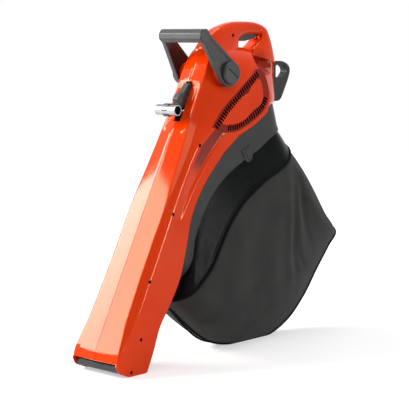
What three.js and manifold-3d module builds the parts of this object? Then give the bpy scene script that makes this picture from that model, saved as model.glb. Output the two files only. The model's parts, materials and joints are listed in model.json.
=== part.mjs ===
// Leaf blower and garden vacuum with a collection bag, leaning as it stands by itself.
// Millimetres. +Z up, -Y is its front, +X its right side, and it is mirrored about X = 0.
// It rests on the two cheeks of its nozzle and on the keel of its bag. It is drawn with the
// nozzle's lips at y = 0, and moved at the end so that the origin is under its middle.
import * as THREE from 'three';
import { mergeVertices } from 'three/addons/utils/BufferGeometryUtils.js';
import Module from 'manifold-3d';

const wasm = await Module();
wasm.setup();

// ---------------------------------------------------------------- driving dimensions
const gap = 0.3;                 // running and seating gap between neighbours
const wall = 3;                  // moulded wall of the housing
const lean = 27;                 // degrees from upright of the straight front edge
const noseY = -50;               // foot of the front edge
const noseZ = 52;

const nozzleHalf = 86;           // half width at the mouth
const bodyHalf = 76;             // half width from the waist up
const handleTop = 934;           // crown of the rear handle
const backY = 662;               // rearmost line of the housing
const spineHalf = 15;            // half width of the spine that the sides fall in to
const cornerBulge = 0.08;        // swell of that fall, as a share of it

const rollerRadius = 13.5;
const rollerY = -25;
const rollerZ = 25;
const axleRadius = 3;
const cheekThick = 4;            // walls that hold the roller's axle
const rollerPlay = 0.4;
const lipAlong = 13;             // fine line across the nozzle above the lip
const lipLine = 1.2;
const dividerThick = 2.5;

const fanAlong = 674;            // foot of the fan scroll, along the front edge
const fanDepth = 88;             // motor axis behind the front edge
const scrollRadius = 64;
const scrollWall = 2.5;
const scrollHeight = 46;
const eyeRadius = 42;
const impellerRadius = 57;
const hubNose = 15;              // radius of the cone under the blades
const bladeCount = 8;
const bladeThick = 2.2;
const shaftRadius = 4;
const motorRadius = 42;
const motorLength = 92;
const motorWall = 2;
const bracketThick = 4;
const bearingRadius = 11;
const bearingThick = 5;
const coreRadius = 24;
const bulkheadThick = 3;
const outletHalf = 58;           // window under the fan bay

const pivotAlong = 855.5;        // bail pivot, along the front edge and behind it
const pivotDepth = 54;
const hubRadius = 30;
const hubLength = 41;
const armThick = 16;
const armBossRadius = 38;
const armEndRadius = 22;
const bailReachY = -88;          // grip centre from the pivot
const bailReachZ = 103;
const armBevel = 3;
const gripHalf = 18;             // the grip is a bar with eight flats
const gripTurn = 0.2;            // turn of its flats, in radians
const gripCore = 11;
const knobRadius = 32;
const knobThick = 12;
const knobSlot = 2.2;            // depth of the coin slot across it
const slotTurn = -0.61;          // turn of that slot, in radians
const boltRadius = 5;
const boltHeadGrow = 4;
const boltHeadThick = 6;

const leverAlong = 761;          // selector pivot
const leverDepth = 19;
const finHalf = 11;
const finPlay = 1.5;
const slotFoot = 682;            // slot of the selector, along the front edge
const slotTop = 806;
const pocketHalf = 38;           // shallow hollow round the slot
const pocketTop = 807;
const pocketDepth = 7;
const leverShaftHalf = 48;
const leverShaftRadius = 4;
const leverBossRadius = 8;
const leverSeat = 6;             // length of the shaft that each boss holds
const tubeRadius = 15;
const tubeBore = 11.5;
const tubeHalf = 38;
const tubeAlong = 698;
const tubeDepth = -37.5;
const flapReach = 15;
const flapThick = 2.5;
const flapSleeve = 6;

const scoopY = 596;              // hollow in each side, under the finger opening
const scoopZ = 836;
const scoopReach = 64;
const scoopHalf = 62;
const scoopWaist = 26;           // half width left between the two hollows

const triggerHalf = 6.5;
const triggerPinY = 604;
const triggerPinZ = handleTop - 28;
const triggerPinRadius = 2;
const triggerPinHalf = 16.5;
const pinBossRadius = 5;
const bossPlay = 2.5;            // side of the trigger to the bosses of its pin
const shelfY = [446, 492];       // shelf under the switch
const shelfZ = handleTop - 76;
const shelfThick = 3;
const switchHalf = 12;
const switchHeight = 24;

const screwRadius = 2;
const screwHeadRadius = 4;
const screwHeadDepth = 3;
const screwLength = 28.5;
const bossRadius = 5.5;

const collarHalf = 78;
const collarWall = 3.5;
const latchThick = 4;            // latch tongues on the sides of the collar
const latchReach = 12;
const rimHalf = 90;
const frameWall = 3;
const bindingRadius = 4;
const bagHalf = 104;
const bagWall = 3;

const ventPanelThick = 2.6;
const ventDepth = 16;            // depth of the window behind the cover
const ventRaise = 3;
const ventField = 30;            // width of the slotted border round the raised field
const ventMargin = 5;            // edge of the cover to the ends of its slots
const slotWidth = 3;
const slotLength = 17;

const loopHalf = 13;
const glandRadius = 9;
const glandBore = 4;
const glandZ = 850;
const glandY = backY - 5;

// facets round a circle, by size
const tinySides = 6;
const smallSides = 12;
const roundSides = 16;
const largeSides = 18;

// ---------------------------------------------------------------- small tools
const rad = THREE.MathUtils.degToRad;
const along = new THREE.Vector2(Math.sin(rad(lean)), Math.cos(rad(lean)));
const behind = new THREE.Vector2(along.y, -along.x);

// a point (y, z) of the side view from its distance along and behind the front edge
function at(s, d) {
  return new THREE.Vector2(noseY, noseZ).addScaledVector(along, s).addScaledVector(behind, d);
}

// a smooth curve value = f(position) through a few [position, value] pairs
function through(pairs) {
  const slope = (i) => {
    const a = pairs[Math.max(i - 1, 0)];
    const b = pairs[Math.min(i + 1, pairs.length - 1)];
    return (b[1] - a[1]) / (b[0] - a[0]);
  };
  return (x) => {
    if (x <= pairs[0][0]) return pairs[0][1];
    if (x >= pairs.at(-1)[0]) return pairs.at(-1)[1];
    const i = pairs.findIndex((p) => p[0] > x) - 1;
    const [x0, y0] = pairs[i];
    const [x1, y1] = pairs[i + 1];
    const t = (x - x0) / (x1 - x0);
    const m0 = slope(i) * (x1 - x0);
    const m1 = slope(i + 1) * (x1 - x0);
    return y0 * (1 + 2 * t) * (1 - t) ** 2 + m0 * t * (1 - t) ** 2
      + y1 * t * t * (3 - 2 * t) + m1 * t * t * (t - 1);
  };
}

// points on a smooth open curve through the given side-view points
function smoothPoints(points, count) {
  const curve = new THREE.SplineCurve(points.map(([y, z]) => new THREE.Vector2(y, z)));
  return curve.getSpacedPoints(count - 1);
}

function toSolid(geometry) {
  const bare = geometry.index ? geometry.toNonIndexed() : geometry.clone();
  bare.deleteAttribute('normal');
  bare.deleteAttribute('uv');
  const merged = mergeVertices(bare, 1e-3);
  const vertProperties = new Float32Array(merged.attributes.position.array);
  const triVerts = new Uint32Array(merged.index.array);
  return new wasm.Manifold(new wasm.Mesh({ numProp: 3, vertProperties, triVerts }));
}

function toGeometry(solid) {
  const { vertProperties, triVerts } = solid.getMesh();
  const geometry = new THREE.BufferGeometry();
  geometry.setAttribute('position', new THREE.BufferAttribute(vertProperties, 3));
  geometry.setIndex(new THREE.BufferAttribute(triVerts, 1));
  return geometry;
}

// closed skin over levels of half loops: every level runs from x = 0 round to x = 0 on the
// +X side and is mirrored; a ring of levels closes on itself, otherwise both ends are capped
function mirroredLoft(levels, ring = false) {
  const n = levels[0].length;
  const positions = [];
  const quads = [];
  for (const side of [1, -1]) {
    for (const level of levels) {
      for (const [x, y, z] of level) positions.push(side * x, y, z);
    }
  }
  const half = levels.length * n;
  const id = (k, v, j) => k * half + (v % levels.length) * n + j;
  const spans = ring ? levels.length : levels.length - 1;
  for (let v = 0; v < spans; v++) {
    for (let j = 0; j < n - 1; j++) {
      quads.push([id(0, v, j), id(0, v, j + 1), id(0, v + 1, j + 1), id(0, v + 1, j)]);
      quads.push([id(1, v, j), id(1, v + 1, j), id(1, v + 1, j + 1), id(1, v, j + 1)]);
    }
  }
  if (!ring) {
    const last = levels.length - 1;
    for (let j = 0; j < n - 1; j++) {
      quads.push([id(0, 0, j), id(1, 0, j), id(1, 0, j + 1), id(0, 0, j + 1)]);
      quads.push([id(0, last, j), id(0, last, j + 1), id(1, last, j + 1), id(1, last, j)]);
    }
  }
  const geometry = new THREE.BufferGeometry();
  geometry.setAttribute('position', new THREE.Float32BufferAttribute(positions, 3));
  geometry.setIndex(quads.flatMap(([a, b, c, d]) => [a, b, c, a, c, d]));
  return outward(mergeVertices(geometry, 1e-3));
}

// drops collapsed triangles and turns the skin so that it faces out
function outward(geometry) {
  const p = geometry.attributes.position;
  const v = [0, 1, 2].map(() => new THREE.Vector3());
  const kept = [];
  let volume = 0;
  for (let i = 0; i < geometry.index.count; i += 3) {
    const tri = [0, 1, 2].map((k) => geometry.index.getX(i + k));
    if (new Set(tri).size < 3) continue;
    kept.push(tri);
    tri.forEach((k, m) => v[m].fromBufferAttribute(p, k));
    volume += v[0].dot(v[1].clone().cross(v[2]));
  }
  if (volume < 0) kept.forEach((tri) => tri.reverse());
  geometry.setIndex(kept.flat());
  return geometry;
}

// side-view outline pushed along X from x0 to x1
function sidePrism(shape, x0, x1, curveSegments = 6) {
  const geometry = new THREE.ExtrudeGeometry(shape, { depth: x1 - x0, bevelEnabled: false, curveSegments });
  const turn = new THREE.Matrix4().makeBasis(
    new THREE.Vector3(0, 1, 0), new THREE.Vector3(0, 0, 1), new THREE.Vector3(1, 0, 0));
  return geometry.applyMatrix4(turn).translate(x0, 0, 0);
}

const outline = (points) => new THREE.Shape(points.map(([y, z]) => new THREE.Vector2(y, z)));

function barX(y, z, radius, x0, x1, sides = smallSides) {
  const bar = new THREE.CylinderGeometry(radius, radius, x1 - x0, sides).rotateZ(Math.PI / 2);
  return toSolid(bar.translate((x0 + x1) / 2, y, z));
}

// tube along X, revolved from its closed wall profile
function tubeX(y, z, outer, bore, x0, x1, sides = roundSides) {
  const profile = [[bore, x0], [outer, x0], [outer, x1], [bore, x1], [bore, x0]];
  const tube = new THREE.LatheGeometry(profile.map(([r, x]) => new THREE.Vector2(r, x)), sides);
  return outward(mergeVertices(stripped(tube.rotateZ(-Math.PI / 2).translate(0, y, z)), 1e-3));
}

function stripped(geometry) {
  geometry.deleteAttribute('normal');
  geometry.deleteAttribute('uv');
  return geometry;
}

const boxSolid = (x0, x1, y0, y1, z0, z1) => toSolid(
  new THREE.BoxGeometry(x1 - x0, y1 - y0, z1 - z0).translate((x0 + x1) / 2, (y0 + y1) / 2, (z0 + z1) / 2));

// box stated in the leaning frame of the front edge
function leaningBox(xHalf, s0, s1, d0, d1) {
  const corners = [at(s0, d0), at(s0, d1), at(s1, d1), at(s1, d0)];
  return toSolid(sidePrism(new THREE.Shape(corners), -xHalf, xHalf));
}

// revolved piece standing on the motor axis; its profile is [radius, height along the axis]
function onAxis(profile, sides) {
  const lathe = new THREE.LatheGeometry(profile.map(([r, h]) => new THREE.Vector2(r, h)), sides);
  return outward(mergeVertices(stripped(lathe.rotateX(Math.PI / 2)), 1e-3));
}

const axisFoot = at(fanAlong, fanDepth);
const onMotorAxis = new THREE.Matrix4().makeRotationX(-rad(lean))
  .setPosition(0, axisFoot.x, axisFoot.y);

// ---------------------------------------------------------------- materials
function shade(color, roughness, metalness = 0) {
  return new THREE.MeshStandardMaterial({ color, roughness, metalness });
}

const finish = {
  orange: () => shade(0xe8431a, 0.25),
  grey: () => shade(0x6f7072, 0.5),
  darkGrey: () => shade(0x3d3f40, 0.55),
  black: () => shade(0x161616, 0.6),
  fabric: () => shade(0x3a3938, 0.9),
  silver: () => shade(0xc8cacc, 0.3, 0.9),
  steel: () => shade(0x9a9da0, 0.35, 1),
};

const blower = new THREE.Group();
function addPart(name, geometry, material, parent = blower) {
  const mesh = new THREE.Mesh(geometry, material);
  mesh.name = name;
  parent.add(mesh);
  return mesh;
}

// ---------------------------------------------------------------- housing form
const depthAt = through([[-70, 135], [60, 135], [150, 128.5], [270, 140], [360, 126], [450, 108.5],
  [540, 116], [620, 139], [660, 153.5]]);
const facetAt = through([[0, nozzleHalf - 1], [50, nozzleHalf - 6], [110, bodyHalf - 4],
  [440, bodyHalf - 6], [560, 61], [700, 50], [850, 44], [885, 36], [918, 18]]);
const crownAt = through([[0, 6], [60, 3], [440, 8], [700, 9], [918, 6]]);
const halfAt = through([[0, nozzleHalf], [110, nozzleHalf - 2], [230, bodyHalf + 5],
  [425, bodyHalf + 2], [560, bodyHalf], [835, bodyHalf], [860, bodyHalf - 4], [885, 58],
  [905, 38], [918, 21]]);
const creaseAt = through([[0, 6], [50, 21], [110, 26], [230, 29], [425, 34], [634, 47], [700, 78],
  [740, 100], [780, 121], [815, 146], [850, 176], [918, 190]]);
// the side falls away behind the crease and steps out again at the end of the dip
const dipAt = through([[440, 0], [520, 4], [600, 7], [660, 5], [705, 0]]);
const dipStep = 4;
const dipEndAt = through([[-70, 70], [450, 74], [554, 88], [683, 124], [740, 156], [780, 190], [815, 224],
  [918, 235]]);

// upper ribs fan out from the front edge to the underside and then to the upright back
const fanRibs = [[660, 386, 571, 4, 4], [700, 442, 611, 4, 4], [740, 512, 640, 4, 4],
  [780, 586, 666, 24, 40], [815, backY, 698, 84, bodyHalf - spineHalf],
  [850, backY, 775, 110, bodyHalf - spineHalf], [885, backY - 3, 822, 100, 43],
  [905, backY - 6, 841, 76, 23], [918, backY - 10, 850, 60, 6]];
const tubeStations = [-70, 0, 50, 110, 200, 300, 400, 480, 560, 620];

function bodyRibs() {
  const ribs = tubeStations.map((s) => {
    const corner = s < 200 ? 12 : 4;
    return { s, back: at(s, depthAt(s)), cornerDepth: corner, cornerSide: corner };
  });
  for (const [s, y, z, cornerDepth, cornerSide] of fanRibs) {
    ribs.push({ s, back: new THREE.Vector2(y, z), cornerDepth, cornerSide });
  }
  return ribs;
}

// half section of one rib: crowned front, bevel to the crease, stepped dip, flat side, back
function ribSection({ s, back, cornerDepth, cornerSide }, inset) {
  const front = at(s, 0);
  const across = back.clone().sub(front);
  const depth = across.length();
  across.normalize();
  const half = halfAt(s) - inset;
  const facet = facetAt(s) - inset * 0.6;
  const bevelMid = (facet + half) / 2 + (half - facet) * 0.12;
  const creaseDepth = creaseAt(s);
  const crown = crownAt(s) + inset;
  const dipEnd = Math.min(dipEndAt(s), depth - cornerDepth - 2);  // it ends before the corner
  const points = [
    [0, inset], [facet, crown], [bevelMid, crown + (creaseDepth - crown) * 0.42],
    [half, creaseDepth + inset * 0.3], [half - dipAt(s), dipEnd - dipStep],
    [half, dipEnd],
  ];
  // the corner falls in to the spine nearly straight, with a slight bulge
  for (const t of inset > 0 ? [0, 1] : [0, 0.5, 1]) {
    const bulge = Math.sin(t * Math.PI) * cornerBulge;
    points.push([half - cornerSide * (t - bulge),
      depth - inset - Math.max(cornerDepth - inset, 1) * (1 - t - bulge)]);
  }
  points.push([0, depth - inset]);
  return points.map(([x, d]) => {
    const p = front.clone().addScaledVector(across, d);
    return [x, p.x, p.y];
  });
}

function bodyForm(inset) {
  const ribs = bodyRibs();
  if (inset > 0) ribs.at(-1).back.y -= inset;
  const sections = ribs.map((rib) => ribSection(rib, inset));
  if (inset > 0) sections.pop();
  const grow = Math.max(inset, 0);
  return toSolid(mirroredLoft(sections)).subtract(pocketForm(grow)).subtract(scoopForm(grow));
}

// hollow for the fingers in each side, under the opening of the rear handle
function scoopForm(grow) {
  const scoops = [1, -1].map((side) => {
    const ball = new THREE.SphereGeometry(1, roundSides, 8)
      .scale(scoopHalf + grow, scoopReach + grow, scoopReach + grow);
    return toSolid(ball.translate(side * (scoopHalf + scoopWaist), scoopY, scoopZ));
  });
  return scoops[0].add(scoops[1]);
}

// scoop that hollows the front round the selector, under a crescent-shaped upper edge
function pocketForm(grow) {
  const length = slotTop - slotFoot;
  const scoop = new THREE.SphereGeometry(1, roundSides, 8)
    .scale(pocketHalf + grow, 2 * pocketDepth + grow, length + grow);
  const place = at(pocketTop - length, -pocketDepth);
  return toSolid(scoop.rotateX(-rad(lean)).translate(0, place.x, place.y));
}

// rear handle: a bar lofted between its outer profile and the edge of the finger opening
const handleOuter = [[352, 842], [364, 868], [386, handleTop - 39], [420, handleTop - 19],
  [478, handleTop - 3], [538, handleTop], [592, handleTop - 4], [backY - 34, handleTop - 18],
  [backY - 18, handleTop - 44], [backY - 9, 862], [backY - 3, 832], [backY - 1, 812]];
const handleInner = [[506, 836], [508, 858], [513, handleTop - 55], [524, handleTop - 43],
  [545, handleTop - 37], [570, handleTop - 36], [596, handleTop - 37], [609, handleTop - 44],
  [600, handleTop - 53], [580, 871], [558, 858], [542, 840]];
const handleHalf = [42, 31, 25, 22, 20, 20, 20, 21, 24, 28, 34, 40];

function handleForm(inset) {
  const count = 12;
  const outer = smoothPoints(handleOuter, count);
  const inner = smoothPoints(handleInner, count);
  const sectionSteps = 5;
  const halfAlong = through(handleHalf.map((h, i) => [i / (handleHalf.length - 1), h]));
  const levels = [];
  for (let i = 0; i < count; i++) {
    const half = halfAlong(i / (count - 1)) - inset;
    const across = inner[i].clone().sub(outer[i]);
    const depth = across.length() - 2 * inset;
    across.normalize();
    const level = [];
    for (let k = 0; k <= sectionSteps; k++) {
      const turn = k / sectionSteps * Math.PI;
      const x = k % sectionSteps === 0 ? 0 : half * Math.sin(turn) ** 0.6;
      const c = Math.cos(turn);
      const d = inset + depth * (1 - Math.sign(c) * Math.abs(c) ** 0.8) / 2;
      const p = outer[i].clone().addScaledVector(across, d);
      level.push([x, p.x, p.y]);
    }
    levels.push(level);
  }
  return toSolid(mirroredLoft(levels));
}

const pivot = at(pivotAlong, pivotDepth);
const leverPivot = at(leverAlong, leverDepth);
const hubFace = bodyHalf - 1;
const hubFoot = hubFace - hubLength;

// screws that close the housing, by their distance along and behind the front edge; the long
// bosses meet at the seam, and the nozzle's short ones only reach into its cheeks
const handleScrew = { name: 'screw_handle', place: new THREE.Vector2(474, handleTop - 40),
  face: 22.5, reach: 22.5 };
const screwPlaces = [['screw_nozzle_low', -11, 68.5, 6], ['screw_nozzle_high', 79, 65, 10],
  ['screw_tube_low', 230, 30], ['screw_tube_high', 425, 35], ['screw_waist', 634, 50]]
  .map(([name, s, d, reach]) => ({ name, place: at(s, d), face: halfAt(s), reach: reach ?? halfAt(s) }))
  .concat(handleScrew);

const beyond = 150;              // past every wall of the housing
const bayHalf = nozzleHalf - cheekThick;
const axleHalf = nozzleHalf - 1.8;
const mouthOutline = [[-120, 60], [-56, 46], [-48, 34], [-42, 20], [-34, 13], [-4, 0.8], [4, 0],
  [54, 0], [66, 1.5], [78, 7], [86, 18], [92, 36], [200, 60], [200, -160], [-120, -160]];

// lens-shaped window in each side for the vent cover
const ventUpper = [[350, 640], [398, 684], [450, 727], [500, 766], [538, 792]];
const ventLower = [[538, 792], [572, 776], [592, 745], [578, 712], [545, 682], [500, 660], [445, 643],
  [390, 632], [350, 640]];

function ventShape(grow) {
  const edge = [...smoothPoints(ventUpper, 5), ...smoothPoints(ventLower, 11).slice(1, -1)];
  const centre = new THREE.Vector2(490, 710);
  return new THREE.Shape(edge.map((p) => {
    const away = p.clone().sub(centre);
    return centre.clone().addScaledVector(away, 1 + grow / away.length());
  }));
}

function housingShell() {
  const outer = bodyForm(0).add(handleForm(0));
  const inner = bodyForm(wall).add(handleForm(wall));
  let shell = outer.subtract(inner);
  const fitInside = (solid) => solid.intersect(outer);
  // bail hubs stand out of the shoulders and stop at one flat face
  for (const side of [-1, 1]) {
    const [x0, x1] = side > 0 ? [hubFoot, hubFace] : [-hubFace, -hubFoot];
    shell = shell.add(barX(pivot.x, pivot.y, hubRadius, x0, x1, largeSides));
  }
  // bulkheads carry the fan scroll and the motor bracket
  const scrollHole = new THREE.CylinderGeometry(scrollRadius + gap, scrollRadius + gap, 200, largeSides)
    .rotateX(Math.PI / 2).applyMatrix4(onMotorAxis);
  const bulkheads = [fanAlong + 1, fanAlong + scrollHeight - bulkheadThick]
    .map((s) => leaningBox(beyond, s, s + bulkheadThick, -beyond, 3 * beyond))
    .reduce((a, b) => a.add(b));
  shell = shell.add(fitInside(bulkheads).subtract(toSolid(scrollHole)));
  // bosses: selector shaft, trigger pin, screws
  const bosses = [];
  for (const side of [-1, 1]) {
    const pair = (x0, x1) => [side * x0, side * x1].sort((a, b) => a - b);
    bosses.push(barX(leverPivot.x, leverPivot.y, leverBossRadius,
      ...pair(leverShaftHalf - leverSeat, beyond)));
    bosses.push(barX(triggerPinY, triggerPinZ, pinBossRadius,
      ...pair(triggerHalf + bossPlay, beyond), tinySides));
  }
  for (const { place, face, reach } of screwPlaces) {
    bosses.push(barX(place.x, place.y, bossRadius, face - reach, face, tinySides));
    if (reach === face) bosses.push(barX(place.x, place.y, bossRadius, -face, 0, tinySides));
  }
  for (const boss of bosses) shell = shell.add(fitInside(boss));
  // shelf under the switch
  shell = shell.add(fitInside(boxSolid(-bodyHalf, bodyHalf, ...shelfY, shelfZ, shelfZ + shelfThick)));
  return shell.subtract(housingCuts());
}

function housingCuts() {
  const cuts = [
    toSolid(sidePrism(outline(mouthOutline), -beyond, beyond)),
    // bay of the roller between the cheeks
    boxSolid(-bayHalf, bayHalf, -beyond, rollerY + 2 * rollerRadius + 3, -beyond, rollerZ + rollerRadius + 2),
    barX(rollerY, rollerZ, axleRadius + gap, -axleHalf - gap, axleHalf + gap),
    leaningBox(beyond, lipAlong, lipAlong + lipLine, -beyond, lipLine),
    // slot of the selector
    leaningBox(finHalf + finPlay, slotFoot, slotTop, -beyond, leverDepth - 5),
    // mouth of the outlet under the fan bay, towards the bag
    leaningBox(outletHalf, fanAlong + 2 * bulkheadThick, fanAlong + scrollHeight - bulkheadThick - 2,
      fanDepth + outletHalf - 6, 3 * beyond),
    // slot of the trigger in the underside of the handle
    boxSolid(-triggerHalf - 1, triggerHalf + 1, triggerPinY - 87, triggerPinY + 8,
      triggerPinZ - 26, triggerPinZ - 3.5),
    barX(leverPivot.x, leverPivot.y, leverShaftRadius + gap, -leverShaftHalf - gap, leverShaftHalf + gap),
    barX(pivot.x, pivot.y, boltRadius + gap, -beyond, beyond),
    barX(triggerPinY, triggerPinZ, triggerPinRadius + gap, -triggerPinHalf - gap, triggerPinHalf + gap,
      tinySides),
    toSolid(new THREE.CylinderGeometry(glandRadius + gap, glandRadius + gap, 60, roundSides)
      .translate(0, glandY, glandZ)),
    toSolid(sidePrism(ventShape(gap), bodyHalf - ventDepth, beyond)),
    toSolid(sidePrism(ventShape(gap), -beyond, -bodyHalf + ventDepth)),
  ];
  for (const { place, face, reach } of screwPlaces) {
    const foot = face - Math.min(reach - 0.5, screwLength + 0.5);
    cuts.push(barX(place.x, place.y, screwHeadRadius + gap, face - screwHeadDepth, beyond, tinySides));
    cuts.push(barX(place.x, place.y, screwRadius + gap, foot, face, tinySides));
  }
  return cuts.reduce((a, b) => a.add(b));
}

// the one real body of a cut solid, without hairline slivers of no volume
function mainBody(solid) {
  return solid.decompose().reduce((a, b) => (b.volume() > a.volume() ? b : a));
}

function makeHousing() {
  const shell = housingShell();
  const halfSpace = (x0, x1) => boxSolid(x0, x1, -beyond, backY + beyond, -beyond, handleTop + beyond);
  const right = shell.intersect(halfSpace(gap / 2, beyond));
  const left = shell.intersect(halfSpace(-beyond, -gap / 2));
  addPart('housing_right', toGeometry(mainBody(right)), finish.orange());
  addPart('housing_left', toGeometry(mainBody(left)), finish.orange());
}

// one lens-shaped cover per side: two rows of cooling slots and a raised field between them
function makeVentCover(name, side) {
  const face = side > 0 ? [bodyHalf - ventPanelThick, bodyHalf] : [-bodyHalf, -bodyHalf + ventPanelThick];
  const raised = side > 0 ? [bodyHalf - 1, bodyHalf + ventRaise] : [-bodyHalf - ventRaise, -bodyHalf + 1];
  let cover = toSolid(sidePrism(ventShape(0), ...face));
  cover = cover.add(toSolid(sidePrism(ventShape(-ventField), ...raised)));
  const slots = [...slotRow(ventUpper, 24, 0.13, 0.94, -1), ...slotRow(ventLower, 20, 0.2, 0.8, -1)];
  for (const slot of slots) cover = cover.subtract(toSolid(sidePrism(slot, -beyond, beyond)));
  addPart(name, toGeometry(mainBody(cover)), finish.orange());
}

// slots stand square to the edge, a little way in from it
function slotRow(edge, count, from, to, inwards) {
  const curve = new THREE.SplineCurve(edge.map(([y, z]) => new THREE.Vector2(y, z)));
  return Array.from({ length: count }, (_, i) => {
    const t = from + (to - from) * i / (count - 1);
    const foot = curve.getPointAt(t);
    const run = curve.getTangentAt(t);
    const across = new THREE.Vector2(-run.y, run.x).multiplyScalar(inwards);
    const corner = (u, v) => foot.clone().addScaledVector(across, ventMargin + u).addScaledVector(run, v);
    const w = slotWidth / 2;
    return new THREE.Shape([corner(0, -w), corner(slotLength, -w), corner(slotLength, w), corner(0, w)]);
  });
}

// ---------------------------------------------------------------- nozzle
function makeNozzle() {
  const end = bayHalf - rollerPlay;
  addPart('nozzle_roller', tubeX(rollerY, rollerZ, rollerRadius, axleRadius + gap, -end, end),
    finish.grey());
  const axle = barX(rollerY, rollerZ, axleRadius, -axleHalf, axleHalf);
  addPart('roller_axle', toGeometry(axle), finish.steel());
  // plate that parts the blowing channel in front from the suction duct behind it
  const plateDepth = through([[30, 36], [230, 46], [425, 50], [612, 60]]);
  const [plateFoot, plateTop] = [30, 612];
  const between = tubeStations.filter((s) => s > plateFoot && s < plateTop);
  const levels = [plateFoot, ...between, plateTop].map((s) => {
    const half = halfAt(s) - dipAt(s) - wall - gap;
    const d = plateDepth(s);
    return [[0, d], [half, d], [half, d + dividerThick], [0, d + dividerThick]].map(([x, depth]) => {
      const p = at(s, depth);
      return [x, p.x, p.y];
    });
  });
  addPart('air_divider', mirroredLoft(levels), finish.darkGrey());
}

// ---------------------------------------------------------------- fan and motor
function makeFan() {
  const group = new THREE.Group();
  group.applyMatrix4(onMotorAxis);
  blower.add(group);
  const backPlate = scrollHeight - 8;
  const deck = scrollHeight + gap;
  const canFoot = deck + bracketThick + gap;
  const canTop = canFoot + motorLength;

  let scroll = toSolid(onAxis([[eyeRadius, 0], [scrollRadius, 0], [scrollRadius, scrollHeight],
    [scrollRadius - scrollWall, scrollHeight], [scrollRadius - scrollWall, scrollWall],
    [eyeRadius, scrollWall], [eyeRadius, 0]], largeSides));
  scroll = scroll.subtract(boxSolid(-46, 46, 20, 100, scrollWall + 3, scrollHeight - 4));
  addPart('fan_scroll', toGeometry(scroll), finish.darkGrey(), group);

  // closed impeller: back plate, cone-nosed hub and backward curved blades
  let impeller = toSolid(onAxis([[shaftRadius + gap, 12], [10, 12], [hubNose, 26],
    [hubNose + 3, backPlate - 3], [impellerRadius, backPlate - 3], [impellerRadius, backPlate],
    [shaftRadius + gap, backPlate], [shaftRadius + gap, 12]], largeSides));
  const blade = bladeShape();
  for (let i = 0; i < bladeCount; i++) {
    const tall = backPlate - 2 - 7;
    const fin = new THREE.ExtrudeGeometry(blade, { depth: tall, bevelEnabled: false, curveSegments: 6 });
    impeller = impeller.add(toSolid(fin.translate(0, 0, 7).rotateZ(i / bladeCount * 2 * Math.PI)));
  }
  addPart('impeller', toGeometry(impeller), finish.darkGrey(), group);

  const deckReach = scrollRadius + 5.5;
  addPart('motor_bracket', onAxis([[bearingRadius + gap, deck], [deckReach, deck],
    [deckReach, deck + bracketThick], [bearingRadius + gap, deck + bracketThick],
    [bearingRadius + gap, deck]], roundSides), finish.steel(), group);
  addPart('bearing_front', onAxis([[shaftRadius + gap, deck], [bearingRadius, deck],
    [bearingRadius, deck + bracketThick], [shaftRadius + gap, deck + bracketThick],
    [shaftRadius + gap, deck]], roundSides), finish.steel(), group);
  addPart('motor_can', onAxis([[motorRadius - motorWall, canFoot], [motorRadius, canFoot],
    [motorRadius, canTop - 9], [motorRadius - 9, canTop], [bearingRadius + gap, canTop],
    [bearingRadius + gap, canTop - bearingThick], [motorRadius - 11, canTop - bearingThick],
    [motorRadius - motorWall, canTop - 12], [motorRadius - motorWall, canFoot]], roundSides),
  finish.steel(), group);
  const bearingFoot = canTop - bearingThick;
  addPart('bearing_rear', onAxis([[shaftRadius + gap, bearingFoot], [bearingRadius, bearingFoot],
    [bearingRadius, canTop], [shaftRadius + gap, canTop], [shaftRadius + gap, bearingFoot]], roundSides),
  finish.steel(), group);
  const coreFoot = canFoot + 16;
  const coreTop = canTop - 26;
  const statorRadius = motorRadius - motorWall - gap;
  addPart('stator', onAxis([[coreRadius + 1, coreFoot], [statorRadius, coreFoot], [statorRadius, coreTop],
    [coreRadius + 1, coreTop], [coreRadius + 1, coreFoot]], roundSides), finish.steel(), group);
  addPart('armature', onAxis([[shaftRadius + gap, coreFoot], [coreRadius, coreFoot],
    [coreRadius, coreTop], [shaftRadius + gap, coreTop], [shaftRadius + gap, coreFoot]], roundSides),
  finish.steel(), group);
  addPart('motor_shaft', onAxis([[0, 10], [shaftRadius, 10], [shaftRadius, canTop - 1],
    [0, canTop - 1]], smallSides), finish.steel(), group);
}

function bladeShape() {
  const edge = (offset) => smoothPoints([[hubNose + 1, offset], [impellerRadius * 0.6, 6 + offset],
    [impellerRadius - 7, 22 + offset]], 4);
  return new THREE.Shape([...edge(0), ...edge(bladeThick).reverse()]);
}

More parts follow.
